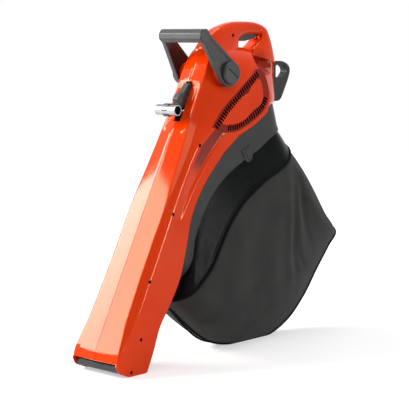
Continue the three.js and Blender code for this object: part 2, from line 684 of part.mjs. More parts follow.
// ---------------------------------------------------------------- front bail
function makeBail() {
  const armIn = hubFace + gap;
  const armOut = armIn + armThick;
  const grip = new THREE.Vector2(pivot.x + bailReachY, pivot.y + bailReachZ);
  const reach = Math.hypot(bailReachY, bailReachZ);
  const heading = Math.atan2(bailReachZ, bailReachY);
  const spread = Math.acos((armBossRadius - armEndRadius) / reach);
  const armShape = new THREE.Shape();
  armShape.absarc(pivot.x, pivot.y, armBossRadius, heading + spread, heading - spread + 2 * Math.PI, false);
  armShape.absarc(grip.x, grip.y, armEndRadius, heading - spread, heading + spread, false);
  let frame = barX(grip.x, grip.y, gripCore, -armIn - 4, armIn + 4);
  for (const side of [-1, 1]) {
    const arm = new THREE.ExtrudeGeometry(armShape, {
      depth: armThick - armBevel, bevelEnabled: true, bevelThickness: armBevel, bevelSize: armBevel,
      bevelOffset: -armBevel, bevelSegments: 1, curveSegments: 5 });
    const turn = new THREE.Matrix4().makeBasis(
      new THREE.Vector3(0, 1, 0), new THREE.Vector3(0, 0, 1), new THREE.Vector3(1, 0, 0));
    arm.applyMatrix4(turn).translate(armIn, 0, 0);
    const keep = boxSolid(armIn, armOut, -beyond, backY, 0, handleTop + beyond);
    let solid = toSolid(arm).intersect(keep);
    if (side < 0) solid = solid.mirror([1, 0, 0]);
    frame = frame.add(solid);
  }
  frame = frame.subtract(barX(pivot.x, pivot.y, boltRadius + gap, -beyond, beyond));
  addPart('bail_frame', toGeometry(frame), finish.grey());
  const flats = new THREE.Shape();
  const corner = gripHalf * Math.tan(Math.PI / 8);
  const quarter = [[gripHalf, -corner], [gripHalf, corner]];
  flats.setFromPoints([0, 1, 2, 3].flatMap((k) => quarter.map(([y, z]) => new THREE.Vector2(y, z)
    .rotateAround(new THREE.Vector2(), k * Math.PI / 2 + gripTurn).add(grip))));
  const bore = barX(grip.x, grip.y, gripCore + gap, -beyond, beyond);
  const bar = toSolid(sidePrism(flats, -armIn + gap, armIn - gap)).subtract(bore);
  addPart('bail_grip', toGeometry(bar), finish.grey());

  for (const [name, side] of [['right', 1], ['left', -1]]) {
    const face = armOut + gap;
    const knobSolid = clampKnob(face);
    const bolt = barX(pivot.x, pivot.y, boltRadius, hubFoot - 2, face + knobThick - 5)
      .add(barX(pivot.x, pivot.y, boltRadius + boltHeadGrow, hubFoot - boltHeadThick, hubFoot - gap, 6));
    for (const [part, solid, skin] of [[`clamp_knob_${name}`, knobSolid, finish.grey()],
      [`pivot_bolt_${name}`, bolt, finish.steel()]]) {
      addPart(part, toGeometry(side > 0 ? solid : solid.mirror([1, 0, 0])), skin);
    }
  }
}

// clamp knob: domed disc with a coin slot across it and a blind bore for the bolt
function clampKnob(face) {
  const top = face + knobThick;
  const profile = [[boltRadius + gap, face], [knobRadius - 1.5, face], [knobRadius, face + 1.5],
    [knobRadius, top - 3], [knobRadius - 3, top - 0.8], [knobRadius - 6, top], [0, top],
    [0, top - 4.7], [boltRadius + gap, top - 4.7], [boltRadius + gap, face]];
  const lathe = new THREE.LatheGeometry(profile.map(([r, x]) => new THREE.Vector2(r, x)), largeSides)
    .rotateZ(-Math.PI / 2).translate(0, pivot.x, pivot.y);
  const knob = toSolid(outward(mergeVertices(stripped(lathe), 1e-3)));
  const slot = new THREE.Shape();
  const reach = knobRadius - 8;
  const spread = 0.18;
  const tip = (angle) => [pivot.x + reach * Math.cos(slotTurn + angle),
    pivot.y + reach * Math.sin(slotTurn + angle)];
  slot.moveTo(...tip(spread));
  for (const angle of [Math.PI - spread, Math.PI + spread, -spread]) slot.lineTo(...tip(angle));
  return knob.subtract(toSolid(sidePrism(slot, top - knobSlot, top + 1)));
}

// ---------------------------------------------------------------- selector lever
function makeSelector() {
  const grip = at(tubeAlong, tubeDepth);
  const [py, pz] = [leverPivot.x, leverPivot.y];
  const [gy, gz] = [grip.x, grip.y];
  // fin with a notched thumb edge; points are offsets from the pivot, then from the grip tube
  const fin = outline([[py - 13, pz + 31], [py + 3, pz + 18], [py + 9, pz + 3], [py + 6, pz - 7],
    [py - 12, pz - 13], [gy + 26, gz - 8], [gy + 14, gz - 16], [gy, gz - 18.5], [gy, gz + 18.5],
    [gy + 12, gz + 17], [gy + 21, gz + 22], [gy + 24, gz + 31], [gy + 18, gz + 36], [gy + 19, gz + 45],
    [gy + 27, gz + 50], [gy + 34, gz + 51], [py - 29, pz + 31]]);
  let arm = toSolid(sidePrism(fin, -finHalf, finHalf));
  arm = arm.subtract(barX(gy, gz, tubeRadius + gap, -60, 60, roundSides));
  arm = arm.subtract(barX(py, pz, leverShaftRadius + gap, -60, 60));
  addPart('selector_arm', toGeometry(mainBody(arm)), finish.grey());
  addPart('selector_grip', tubeX(gy, gz, tubeRadius, tubeBore, -tubeHalf, tubeHalf), finish.silver());
  addPart('selector_shaft', toGeometry(barX(py, pz, leverShaftRadius, -leverShaftHalf, leverShaftHalf)),
    finish.steel());
  // a flap on the shaft either side of the fin opens and shuts the blowing channel
  const flapIn = finHalf + gap;
  const flapOut = leverShaftHalf - leverSeat - gap;
  for (const [name, side] of [['right', 1], ['left', -1]]) {
    const plate = sidePrism(outline([[-flapThick / 2, -4.5], [flapThick / 2, -4.5],
      [flapThick / 2, -flapSleeve - flapReach], [-flapThick / 2, -flapSleeve - flapReach]]), flapIn, flapOut);
    let flap = barX(0, 0, flapSleeve, flapIn, flapOut).add(toSolid(plate));
    flap = flap.subtract(barX(0, 0, leverShaftRadius + gap, 0, 90));
    const geometry = toGeometry(side > 0 ? flap : flap.mirror([1, 0, 0]));
    const mesh = addPart(`diverter_flap_${name}`, geometry, finish.darkGrey());
    mesh.rotation.x = rad(5);
    mesh.position.set(0, py, pz);
  }
}

// ---------------------------------------------------------------- trigger, switch, cable inlet
function makeControls() {
  // the blade's points are offsets from its pin
  const blade = outline([[-85, -3], [-85, -21], [-81, -26], [-74, -28], [-58, -28], [-24, -22],
    [-6, -14], [5, -7], [6, 1], [2, 5], [-4, 5], [-14, 0], [-44, -1]]
    .map(([y, z]) => [triggerPinY + y, triggerPinZ + z]));
  const trigger = toSolid(sidePrism(blade, -triggerHalf, triggerHalf))
    .subtract(barX(triggerPinY, triggerPinZ, triggerPinRadius + gap, -20, 20, tinySides));
  addPart('trigger', toGeometry(trigger), finish.grey());
  addPart('trigger_pin', toGeometry(barX(triggerPinY, triggerPinZ, triggerPinRadius, -triggerPinHalf,
    triggerPinHalf, tinySides)), finish.steel());
  const switchFoot = shelfZ + shelfThick + gap;
  addPart('switch_module', toGeometry(boxSolid(-switchHalf, switchHalf, shelfY[0] + 4, shelfY[1] - 4,
    switchFoot, switchFoot + switchHeight)), finish.black());
  const profile = [[glandBore, -18], [glandRadius, -18], [glandRadius, 5], [glandRadius - 1, 6],
    [glandBore, 6], [glandBore, -18]];
  const gland = new THREE.LatheGeometry(profile.map(([r, h]) => new THREE.Vector2(r, h)), roundSides)
    .translate(0, glandY, glandZ);
  addPart('cable_gland', outward(mergeVertices(stripped(gland), 1e-3)), finish.black());
}

function makeScrews() {
  for (const { name, place, face, reach } of screwPlaces) {
    const length = Math.min(reach - 1.5, screwLength);
    const foot = face - screwHeadDepth;
    const profile = [[0, face - length], [screwRadius, face - length], [screwRadius, foot],
      [screwHeadRadius, foot + gap], [screwHeadRadius, face - 0.6], [0, face - 0.6]];
    const screw = new THREE.LatheGeometry(profile.map(([r, x]) => new THREE.Vector2(r, x)), tinySides)
      .rotateZ(-Math.PI / 2).translate(0, place.x, place.y);
    addPart(name, outward(mergeVertices(stripped(screw), 1e-3)), finish.steel());
  }
}

// ---------------------------------------------------------------- outlet collar, frame and bag
// every loop runs from the middle of its rear over the right side to the middle of its foot;
// a point is [share of the half width, y, z]
const collarSeat = [[0, backY - 6, 708], [0.55, 624, 708], [0.9, 588, 702], [1, 552, 690], [1, 498, 662],
  [1, 436, 626], [1, 366, 572], [1, 300, 500], [1, 246, 414], [1, 218, 330], [0.97, 198, 262],
  [0.6, 182, 232], [0, 178, 224]];
const collarEdge = [[0, 690, 618], [0.55, 652, 618], [0.9, 616, 614], [1, 576, 598], [1, 524, 568],
  [1, 462, 541], [1, 392, 505], [1, 334, 457], [1, 290, 398], [1, 262, 340], [0.97, 246, 270],
  [0.6, 219, 224], [0, 213, 214]];
const rimEdge = [[0, 724, 572], [0.55, 694, 556], [0.9, 654, 530], [1, 604, 507], [1, 536, 479],
  [1, 454, 431], [1, 395, 376], [1, 350, 312], [1, 316, 258], [1, 270, 216], [0.97, 230, 190],
  [0.62, 206, 174], [0, 204, 168]];
const keelEdge = [[0, 738, 552], [0.1, 794, 468], [0.1, 858, 394], [0.1, 926, 321], [0.1, 974, 279],
  [0.1, 938, 238], [0.12, 874, 170], [0.14, 812, 100], [0.16, 730, 36], [0.18, 624, 0],
  [0.18, 500, 0], [0.13, 366, 32], [0, 226, 148]];
const loopSteps = 18;

function loopPoints(loop, half) {
  const curve = new THREE.CatmullRomCurve3(loop.map(([f, y, z]) => new THREE.Vector3(f * half, y, z)));
  const points = Array.from({ length: loopSteps + 1 }, (_, i) => curve.getPoint(i / loopSteps));
  points[0].x = 0;
  points[loopSteps].x = 0;
  points.forEach((p) => { p.z = Math.max(p.z, 0); });
  return points;
}

// the same loop, drawn in by a wall thickness
function drawnIn(points, by) {
  const half = Math.max(...points.map((p) => p.x));
  const middle = points.reduce((sum, p) => sum.add(p), new THREE.Vector3())
    .divideScalar(points.length);
  return points.map((p) => {
    const side = Math.min(p.x / half, 1);
    const inwards = new THREE.Vector2(middle.y - p.y, middle.z - p.z).normalize()
      .multiplyScalar(by * Math.sqrt(1 - side ** 2));
    return new THREE.Vector3(Math.max(p.x - by * side, 0), p.y + inwards.x, p.z + inwards.y);
  });
}

const flat = (points) => points.map((p) => [p.x, p.y, p.z]);

// direction of a loop at one of its points; it crosses the middle square on
function runAt(points, i) {
  if (i === 0 || i === points.length - 1) return new THREE.Vector3(1, 0, 0);
  return points[i + 1].clone().sub(points[i - 1]).normalize();
}

// points moved towards the matching points of another loop, square to their own loop
function towards(points, others, distance) {
  return points.map((p, i) => {
    const run = runAt(points, i);
    const step = new THREE.Vector3(0, others[i].y - p.y, others[i].z - p.z);
    step.addScaledVector(run, -step.dot(run)).normalize();
    return p.clone().addScaledVector(step, distance);
  });
}

// a tongue on each side of the collar hooks over the bag frame
function latchTongues() {
  const [foot, top] = [collarEdge[4], collarEdge[5]].map(([, y, z]) => new THREE.Vector2(y, z));
  const run = foot.clone().sub(top).normalize();
  const out = new THREE.Vector2(run.y, -run.x);
  const corner = (u, v) => top.clone().addScaledVector(run, u).addScaledVector(out, v);
  const face = collarHalf - 2.6;
  const tongues = [1, -1].map((side) => {
    const plate = (x0, x1, corners) => {
      const solid = toSolid(sidePrism(new THREE.Shape(corners.map(([u, v]) => corner(u, v))), x0, x1));
      return side > 0 ? solid : solid.mirror([1, 0, 0]);
    };
    const rounded = [[6, -26], [38, -26], [38, latchReach - 5], [33, latchReach], [11, latchReach],
      [6, latchReach - 5]];
    const seat = [[6, -26], [38, -26], [38, -1], [6, -1]];
    return plate(face + latchThick - 1, face + 2 * latchThick - 1, rounded)
      .add(plate(face - 1, face + latchThick, seat));
  });
  return tongues[0].add(tongues[1]);
}

function makeOutlet() {
  const seat = loopPoints(collarSeat, collarHalf - 2.6);
  const edge = loopPoints(collarEdge, collarHalf - 2.6);
  const edgeIn = drawnIn(edge, collarWall);
  const clear = bodyForm(-gap);
  const collar = toSolid(mirroredLoft([flat(seat), flat(edge), flat(edgeIn), flat(drawnIn(seat, collarWall))],
    true)).subtract(clear);
  addPart('outlet_collar', toGeometry(mainBody(collar.add(latchTongues()))), finish.grey());

  const rim = loopPoints(rimEdge, rimHalf);
  const keel = loopPoints(keelEdge, bagHalf);
  const hem = bindingRadius + 2 * gap;
  const frameTop = towards(edge, rim, gap);
  const frameEnd = towards(rim, edge, hem);
  const frame = toSolid(mirroredLoft([flat(frameTop), flat(frameEnd), flat(drawnIn(frameEnd, frameWall)),
    flat(drawnIn(frameTop, frameWall))], true)).subtract(clear);
  addPart('bag_frame', toGeometry(mainBody(frame)), finish.darkGrey());

  // round binding along the rim
  const up = towards(rim, edge, bindingRadius);
  const sides = 6;
  const rings = Array.from({ length: sides }, (_, k) => {
    const turn = (k + 0.5) / sides * 2 * Math.PI;
    return rim.map((p, i) => {
      const q = up[i].clone().sub(p).applyAxisAngle(runAt(rim, i), turn).add(p);
      return [q.x < 0.01 ? 0 : q.x, q.y, q.z];
    });
  });
  addPart('bag_binding', mirroredLoft(rings, true), finish.black());

  // sewn bag: two side panels bulge from the rim down to the keel seam
  const bagForm = (inset) => {
    const top = drawnIn(inset > 0 ? towards(rim, keel, -12) : towards(rim, keel, hem + gap), inset);
    const foot = towards(keel, rim, inset * 1.2).map((p) => {
      p.z = Math.max(p.z, inset);
      p.x = Math.max(p.x - inset, 0);
      return p;
    });
    const rows = [0, 0.3, 0.7, 1];
    const swell = through([[0, 0], [0.3, 0.16], [0.6, 0.3], [0.86, 0.3], [1, 0]]);
    return toSolid(mirroredLoft(rows.map((v) => top.map((p, i) => {
      const q = p.clone().lerp(foot[i], v);
      q.x += (p.x - foot[i].x) * (v - v ** 2.4) + swell(v) * p.x * 0.35;
      return [i === 0 || i === loopSteps ? 0 : Math.max(q.x, 0), q.y, Math.max(q.z, inset)];
    }))));
  };
  const bag = bagForm(0).subtract(bagForm(bagWall)).subtract(clear);
  addPart('collection_bag', toGeometry(mainBody(bag)), finish.fabric());
}

// loop for a shoulder strap on the back of the housing
function makeRearLoop() {
  const foot = backY + gap + 0.3;
  const out = (points) => points.map(([reach, z]) => new THREE.Vector2(foot + reach, z));
  const shape = new THREE.Shape(out([[0, 700], [0, 813], [6, 819], [44, 819], [66, 812], [78, 802],
    [81, 788], [71, 762], [42, 710], [31, 701]]));
  shape.holes.push(new THREE.Path(out([[13, 770], [50, 770], [65, 788], [62, 798], [52, 807], [13, 807]])));
  addPart('strap_loop', toGeometry(toSolid(sidePrism(shape, -loopHalf, loopHalf))), finish.grey());
}

makeHousing();
makeVentCover('vent_cover_right', 1);
makeVentCover('vent_cover_left', -1);
makeNozzle();
makeFan();
makeBail();
makeSelector();
makeControls();
makeScrews();
makeOutlet();
makeRearLoop();

// the origin goes under the middle of the whole
const extent = new THREE.Box3().setFromObject(blower);
const middle = extent.getCenter(new THREE.Vector3());
blower.position.set(-middle.x, -middle.y, -extent.min.z);

export default blower;
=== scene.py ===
# Looks of the leaf blower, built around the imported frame. Metres, +Z up, its front is -Y.
import json
import math

import bmesh
import bpy
from mathutils import Matrix, Vector


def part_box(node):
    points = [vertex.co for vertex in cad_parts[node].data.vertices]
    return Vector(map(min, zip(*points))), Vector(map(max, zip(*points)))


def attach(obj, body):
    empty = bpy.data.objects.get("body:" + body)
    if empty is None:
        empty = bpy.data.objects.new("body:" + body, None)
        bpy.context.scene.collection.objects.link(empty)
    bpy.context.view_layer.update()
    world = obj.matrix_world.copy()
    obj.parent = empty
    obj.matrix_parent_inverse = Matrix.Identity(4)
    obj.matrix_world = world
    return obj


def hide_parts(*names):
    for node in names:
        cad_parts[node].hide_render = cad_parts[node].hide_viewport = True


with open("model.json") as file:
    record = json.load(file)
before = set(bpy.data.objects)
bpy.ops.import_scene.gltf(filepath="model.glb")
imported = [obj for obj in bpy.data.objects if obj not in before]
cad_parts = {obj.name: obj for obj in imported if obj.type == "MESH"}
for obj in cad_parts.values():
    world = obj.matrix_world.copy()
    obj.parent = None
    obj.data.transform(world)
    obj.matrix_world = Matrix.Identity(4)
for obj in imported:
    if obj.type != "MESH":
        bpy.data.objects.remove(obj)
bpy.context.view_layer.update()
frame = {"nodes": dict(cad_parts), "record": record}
nodes = frame["nodes"]

# the nozzle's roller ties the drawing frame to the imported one; the camera's place is in the first
rollerAt = (-25, 25)
axleRadius = 3.3
rollerLow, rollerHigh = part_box("nozzle_roller")
shiftY = (rollerLow.y + rollerHigh.y) / 2 - rollerAt[0] / 1000
camera = {"lens": 121.0, "azimuth": 43.0, "pitch": 6.8, "place": (2.643, -2.454, 0.892)}


def makeCamera(d):
    data = bpy.data.cameras.new("camera")
    data.lens = d["lens"]
    obj = bpy.data.objects.new("camera", data)
    obj.location = Vector(d["place"]) + Vector((0, shiftY, 0))
    obj.rotation_euler = (math.radians(90 - d["pitch"]), 0, math.radians(d["azimuth"]))
    bpy.context.scene.collection.objects.link(obj)
    bpy.context.scene.camera = obj


makeCamera(camera)
print("camera set")

# the drawing frame: the side view in millimetres, where s and d run along the front edge and behind it
leanAngle = math.radians(27)  # of the front edge, from upright
edgeFoot = (-50, 52)
alongEdge = (math.sin(leanAngle), math.cos(leanAngle))
behindEdge = (math.cos(leanAngle), -math.sin(leanAngle))


def mm(x, y, z):  # a point of the drawing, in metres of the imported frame
    return Vector((x / 1000, y / 1000 + shiftY, z / 1000))


def at(s, d):  # point (y, z) of the side view, along and behind the front edge
    return (edgeFoot[0] + s * alongEdge[0] + d * behindEdge[0],
            edgeFoot[1] + s * alongEdge[1] + d * behindEdge[1])


def alongOf(y, z):  # the way back: how far along and behind the front edge a point lies
    y, z = y - edgeFoot[0], z - edgeFoot[1]
    return (y * alongEdge[0] + z * alongEdge[1], y * behindEdge[0] + z * behindEdge[1])


def through(pairs):  # smooth curve of a value through a few [position, value] pairs
    def slope(i):
        a, b = pairs[max(i - 1, 0)], pairs[min(i + 1, len(pairs) - 1)]
        return (b[1] - a[1]) / (b[0] - a[0])

    def value(x):
        if x <= pairs[0][0]:
            return pairs[0][1]
        if x >= pairs[-1][0]:
            return pairs[-1][1]
        i = next(k for k, p in enumerate(pairs) if p[0] > x) - 1
        (x0, y0), (x1, y1) = pairs[i], pairs[i + 1]
        t = (x - x0) / (x1 - x0)
        m0, m1 = slope(i) * (x1 - x0), slope(i + 1) * (x1 - x0)
        return (y0 * (1 + 2 * t) * (1 - t) ** 2 + m0 * t * (1 - t) ** 2
                + y1 * t * t * (3 - 2 * t) + m1 * t * t * (t - 1))
    return value


def smoothStep(a, b, x):
    t = min(max((x - a) / (b - a), 0), 1)
    return t * t * (3 - 2 * t)


def catmull(points, perSpan):  # smooth curve through tuples of any size, stepped per span
    n = len(points)
    dense = []
    for i in range(n - 1):
        p = [Vector(points[min(max(k, 0), n - 1)]) for k in (i - 1, i, i + 1, i + 2)]
        for k in range(perSpan):
            t = k / perSpan
            dense.append(0.5 * (2 * p[1] + (p[2] - p[0]) * t
                                + (2 * p[0] - 5 * p[1] + 4 * p[2] - p[3]) * t * t
                                + (3 * p[1] - p[0] - 3 * p[2] + p[3]) * t ** 3))
    return dense + [Vector(points[-1])]


def splinePoints(points, count):  # even points on the same curve
    dense = catmull(points, 16)
    run = [0]
    for a, b in zip(dense, dense[1:]):
        run.append(run[-1] + (b - a).length)
    out, k = [], 0
    for i in range(count):
        goal = run[-1] * i / (count - 1)
        while k < len(run) - 2 and run[k + 1] < goal:
            k += 1
        share = (goal - run[k]) / max(run[k + 1] - run[k], 1e-9)
        out.append(dense[k].lerp(dense[k + 1], min(max(share, 0), 1)))
    return out


def roundedLine(points, radii, steps=4):  # flat open line whose corners are rounded
    out = [Vector(points[0])]
    for i in range(1, len(points) - 1):
        p, r = Vector(points[i]), radii[i]
        a, b = Vector(points[i - 1]) - p, Vector(points[i + 1]) - p
        if r <= 0:
            out.append(p)
            continue
        reach = min(r, a.length * 0.45, b.length * 0.45)
        start, end = p + a.normalized() * reach, p + b.normalized() * reach
        for k in range(steps + 1):
            t = k / steps
            out.append(start * (1 - t) ** 2 + p * 2 * t * (1 - t) + end * t * t)
    out.append(Vector(points[-1]))
    return out


# mesh helpers: outlines, radii and bevels are in millimetres, loops and boxes in metres
def newMesh():
    return bmesh.new()


def addLoop(bm, points, closed=False):  # line of vertices joined by edges; gives its edges
    verts = [bm.verts.new(p) for p in points]
    edges = [bm.edges.new(pair) for pair in zip(verts, verts[1:])]
    if closed:
        edges.append(bm.edges.new((verts[-1], verts[0])))
    return edges


def loft(bm, loops, closed=False, ring=False):  # skin bridged over lines of equal count
    rows = [addLoop(bm, points, closed) for points in loops]
    pairs = list(zip(rows, rows[1:])) + ([(rows[-1], rows[0])] if ring else [])
    for a, b in pairs:
        bmesh.ops.bridge_loops(bm, edges=a + b)
    return rows


def addBox(bm, low, high):
    made = bmesh.ops.create_cube(bm, size=1)["verts"]
    bmesh.ops.scale(bm, verts=made, vec=[h - l for l, h in zip(low, high)])
    bmesh.ops.translate(bm, verts=made, vec=[(h + l) / 2 for l, h in zip(low, high)])


def drawnRod(bm, y, z, radius, x0, x1, sides=32):  # round bar along X
    x0, x1 = x0 / 1000, x1 / 1000
    made = bmesh.ops.create_cone(bm, cap_ends=True, segments=sides, radius1=radius / 1000,
                                 radius2=radius / 1000, depth=x1 - x0)["verts"]
    place = Matrix.Translation(mm(0, y, z) + Vector(((x0 + x1) / 2, 0, 0)))
    bmesh.ops.transform(bm, matrix=place @ Matrix.Rotation(math.pi / 2, 4, "Y"), verts=made)


def onX(y, z):  # turns a profile's own axis to X and stands it at that point of the side view
    return Matrix.Translation(mm(0, y, z)) @ Matrix.Rotation(math.pi / 2, 4, "Y")


def spinProfile(bm, profile, steps, matrix, closed=False):  # (radius, height) about Z
    edges = addLoop(bm, [(r / 1000, 0, h / 1000) for r, h in profile], closed)
    geom = list({v for e in edges for v in e.verts}) + edges
    bmesh.ops.spin(bm, geom=geom, cent=(0, 0, 0), axis=(0, 0, 1), angle=2 * math.pi,
                   steps=steps, use_merge=True)
    bmesh.ops.remove_doubles(bm, verts=bm.verts, dist=1e-6)
    bmesh.ops.transform(bm, matrix=matrix, verts=bm.verts)


def prismX(bm, outline, x0, x1):  # closed side-view outline pushed along X
    face = bm.faces.new([bm.verts.new(mm(x0, y, z)) for y, z in outline])
    pushed = bmesh.ops.extrude_face_region(bm, geom=[face])["geom"]
    verts = [g for g in pushed if isinstance(g, bmesh.types.BMVert)]
    bmesh.ops.translate(bm, verts=verts, vec=Vector(((x1 - x0) / 1000, 0, 0)))


def faceOut(bm):
    bmesh.ops.remove_doubles(bm, verts=bm.verts, dist=1e-6)
    bmesh.ops.recalc_face_normals(bm, faces=bm.faces)


def bevelSharp(bm, width, segments, angle):  # bevels edges sharper than the angle
    limit = math.radians(angle)
    edges = [e for e in bm.edges if e.is_manifold and e.calc_face_angle(0) > limit]
    bmesh.ops.bevel(bm, geom=edges, offset=width / 1000, offset_type="OFFSET", segments=segments,
                    profile=0.5, affect="EDGES", clamp_overlap=True, material=-1)


def smoothBelow(bm, angle):  # smooth shading, with edges sharper than the angle kept
    for face in bm.faces:
        face.smooth = True
    for edge in bm.edges:
        edge.smooth = not (edge.is_manifold and edge.calc_face_angle(0) > math.radians(angle))


def toObject(bm, name, angle=35):
    smoothBelow(bm, angle)
    mesh = bpy.data.meshes.new(name)
    bm.to_mesh(mesh)
    bm.free()
    obj = bpy.data.objects.new(name, mesh)
    bpy.context.scene.collection.objects.link(obj)
    return obj


def toMesh(obj):  # applies every modifier of a piece
    graph = bpy.context.evaluated_depsgraph_get()
    graph.update()
    mesh = bpy.data.meshes.new_from_object(obj.evaluated_get(graph))
    obj.modifiers.clear()
    old = obj.data
    obj.data = mesh
    bpy.data.meshes.remove(old)


def cutBy(obj, cutter, operation="DIFFERENCE"):  # the cutter is used up
    cut = obj.modifiers.new("cut", "BOOLEAN")
    cut.operation = operation
    cut.solver = "MANIFOLD"
    cut.object = cutter
    toMesh(obj)
    bpy.data.objects.remove(cutter)


def cutterFrom(make):
    bm = newMesh()
    make(bm)
    faceOut(bm)
    return toObject(bm, "cutter")


beyond = 150  # mm from the middle, past every side of the object
sideWords = {1: "Right", -1: "Left"}


def bore(obj, centre, radius, sides=32):  # hole along X, right through
    cutBy(obj, cutterFrom(lambda bm: drawnRod(bm, *centre, radius, -beyond, beyond, sides)))


def plate(name, outline, x0, x1, edge, segments, angle):  # prism with its sharp edges bevelled
    bm = newMesh()
    prismX(bm, outline, x0, x1)
    faceOut(bm)
    bevelSharp(bm, edge, segments, angle)
    return toObject(bm, name)


def markSharp(obj, angle=35):  # after a cut: merges doubles and keeps edges past the angle
    bm = newMesh()
    bm.from_mesh(obj.data)
    bmesh.ops.remove_doubles(bm, verts=bm.verts, dist=1e-6)
    smoothBelow(bm, angle)
    bm.to_mesh(obj.data)
    bm.free()
    evenNormals(obj)


def evenNormals(obj):
    obj.modifiers.new("even normals", "WEIGHTED_NORMAL").keep_sharp = True


def finishPiece(obj, material, body, slot, *replaced):
    obj.data.materials.clear()
    obj.data.materials.append(material)
    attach(obj, body)
    if replaced:
        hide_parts(*replaced)


def addPiece(bm, name, material, body, slot, *replaced):
    faceOut(bm)
    obj = toObject(bm, name)
    evenNormals(obj)
    finishPiece(obj, material, body, slot, *replaced)


# materials
def shaderOf(mat):
    return mat.node_tree.nodes["Principled BSDF"]


def setSockets(node, sockets):  # a socket's name is written with _ for its spaces
    for socket, value in sockets.items():
        node.inputs[socket.replace("_", " ")].default_value = value


def newMaterial(name, color, roughness, metallic=0.0, **sockets):
    mat = bpy.data.materials.new(name)
    mat.use_nodes = True
    setSockets(shaderOf(mat), {"Base_Color": (*color, 1), "Roughness": roughness,
                               "Metallic": metallic, **sockets})
    return mat


def addNode(mat, kind, **sockets):
    node = mat.node_tree.nodes.new("ShaderNode" + kind)
    setSockets(node, sockets)
    return node


def join(mat, out, socket):
    mat.node_tree.links.new(out, socket)


def coords(mat, stretch=(1, 1, 1), source="Object"):
    mapping = addNode(mat, "Mapping", Scale=stretch)
    join(mat, addNode(mat, "TexCoord").outputs[source], mapping.inputs["Vector"])
    return mapping.outputs["Vector"]


def noise(mat, scale, detail, stretch=(1, 1, 1)):
    node = addNode(mat, "TexNoise", Scale=scale, Detail=detail)
    join(mat, coords(mat, stretch), node.inputs["Vector"])
    return node.outputs["Fac"]


def spread(mat, value, low, high, fromLow=0.3, fromHigh=0.7):
    node = addNode(mat, "MapRange", From_Min=fromLow, From_Max=fromHigh, To_Min=low, To_Max=high)
    join(mat, value, node.inputs["Value"])
    return node.outputs["Result"]


def multiplied(mat, a, b):
    node = addNode(mat, "Math")
    node.operation = "MULTIPLY"
    join(mat, a, node.inputs[0])
    join(mat, b, node.inputs[1])
    return node.outputs[0]


def colorBetween(mat, share, a, b):  # a and b are colours, or outputs that carry one
    node = addNode(mat, "Mix")
    node.data_type = "RGBA"
    for socket, color in (("A", a), ("B", b)):
        if isinstance(color, bpy.types.NodeSocket):
            join(mat, color, node.inputs[socket])
        else:
            node.inputs[socket].default_value = (*color, 1)
    join(mat, share, node.inputs["Factor"])
    return node.outputs["Result"]


def bump(mat, height, strength, distance, below=None):
    node = addNode(mat, "Bump", Strength=strength, Distance=distance)
    join(mat, height, node.inputs["Height"])
    if below:
        join(mat, below, node.inputs["Normal"])
    return node.outputs["Normal"]


def mouldedPlastic(name, dark, light, rough, grain, grainDepth, **sockets):
    mat = newMaterial(name, light, sum(rough) / 2, **sockets)
    shader = shaderOf(mat)
    cloud = spread(mat, noise(mat, 9, 4), 0, 1)
    join(mat, colorBetween(mat, cloud, dark, light), shader.inputs["Base Color"])
    join(mat, spread(mat, noise(mat, 60, 5), *rough), shader.inputs["Roughness"])
    join(mat, bump(mat, noise(mat, grain, 2), 1.0, grainDepth), shader.inputs["Normal"])
    return mat


def paintShadeRed(mat, paintedShade):  # painted shade: the face corners marked in the attribute take a deeper red
    color = shaderOf(mat).inputs["Base Color"]
    mark = addNode(mat, "Attribute")
    mark.attribute_name = "paintedShade"
    join(mat, colorBetween(mat, mark.outputs["Fac"], color.links[0].from_socket, paintedShade), color)


shellPlastic = mouldedPlastic("glossy orange plastic", (0.66, 0.03, 0.0005), (0.7, 0.038, 0.001),
                              (0.06, 0.11), 260, 0.000012, Specular_IOR_Level=0.2,
                              Specular_Tint=(1, 0.74, 0.44, 1))
# the deeper red of painted shade, for the hollows, grooves and dips where shade falls
paintShadeRed(shellPlastic, (0.22, 0.006, 0.005))
# painted shade: black for the walls of the vent slots and the sheet behind them
slotShadeBlack = mouldedPlastic("black painted slot shade", (0.002, 0.002, 0.002), (0.004, 0.0035, 0.0035),
                          (0.85, 0.95), 1500, 0.0001, Specular_IOR_Level=0.03)
handlePlastic = mouldedPlastic("grained grey plastic", (0.034, 0.033, 0.035), (0.045, 0.044, 0.046),
                               (0.4, 0.52), 1500, 0.00012, Specular_IOR_Level=0.28)
ductPlastic = mouldedPlastic("dark grey plastic", (0.027, 0.0275, 0.0275), (0.036, 0.0365, 0.0365),
                             (0.4, 0.52), 1200, 0.0001, Specular_IOR_Level=0.13)
framePlastic = mouldedPlastic("charcoal plastic", (0.004, 0.005, 0.0045), (0.006, 0.007, 0.0065),
                              (0.24, 0.32), 1200, 0.00006, Specular_IOR_Level=0.03)
# real black plastic, also used as painted shade on the bail's inner faces and in the selector tube's bore
blackPlasticAndShade = mouldedPlastic("black plastic and painted shade", (0.008, 0.008, 0.008), (0.014, 0.014, 0.014),
                              (0.32, 0.45), 1200, 0.0001)


def brushedMetal(name, color, rough, stretch, scale):
    mat = newMaterial(name, color, sum(rough) / 2, 1.0)
    shader = shaderOf(mat)
    streak = noise(mat, scale, 4, stretch)
    dark = [c * 0.9 for c in color]
    join(mat, spread(mat, streak, *rough), shader.inputs["Roughness"])
    join(mat, colorBetween(mat, spread(mat, streak, 0, 1), dark, color), shader.inputs["Base Color"])
    join(mat, bump(mat, streak, 0.4, 0.00006), shader.inputs["Normal"])
    return mat


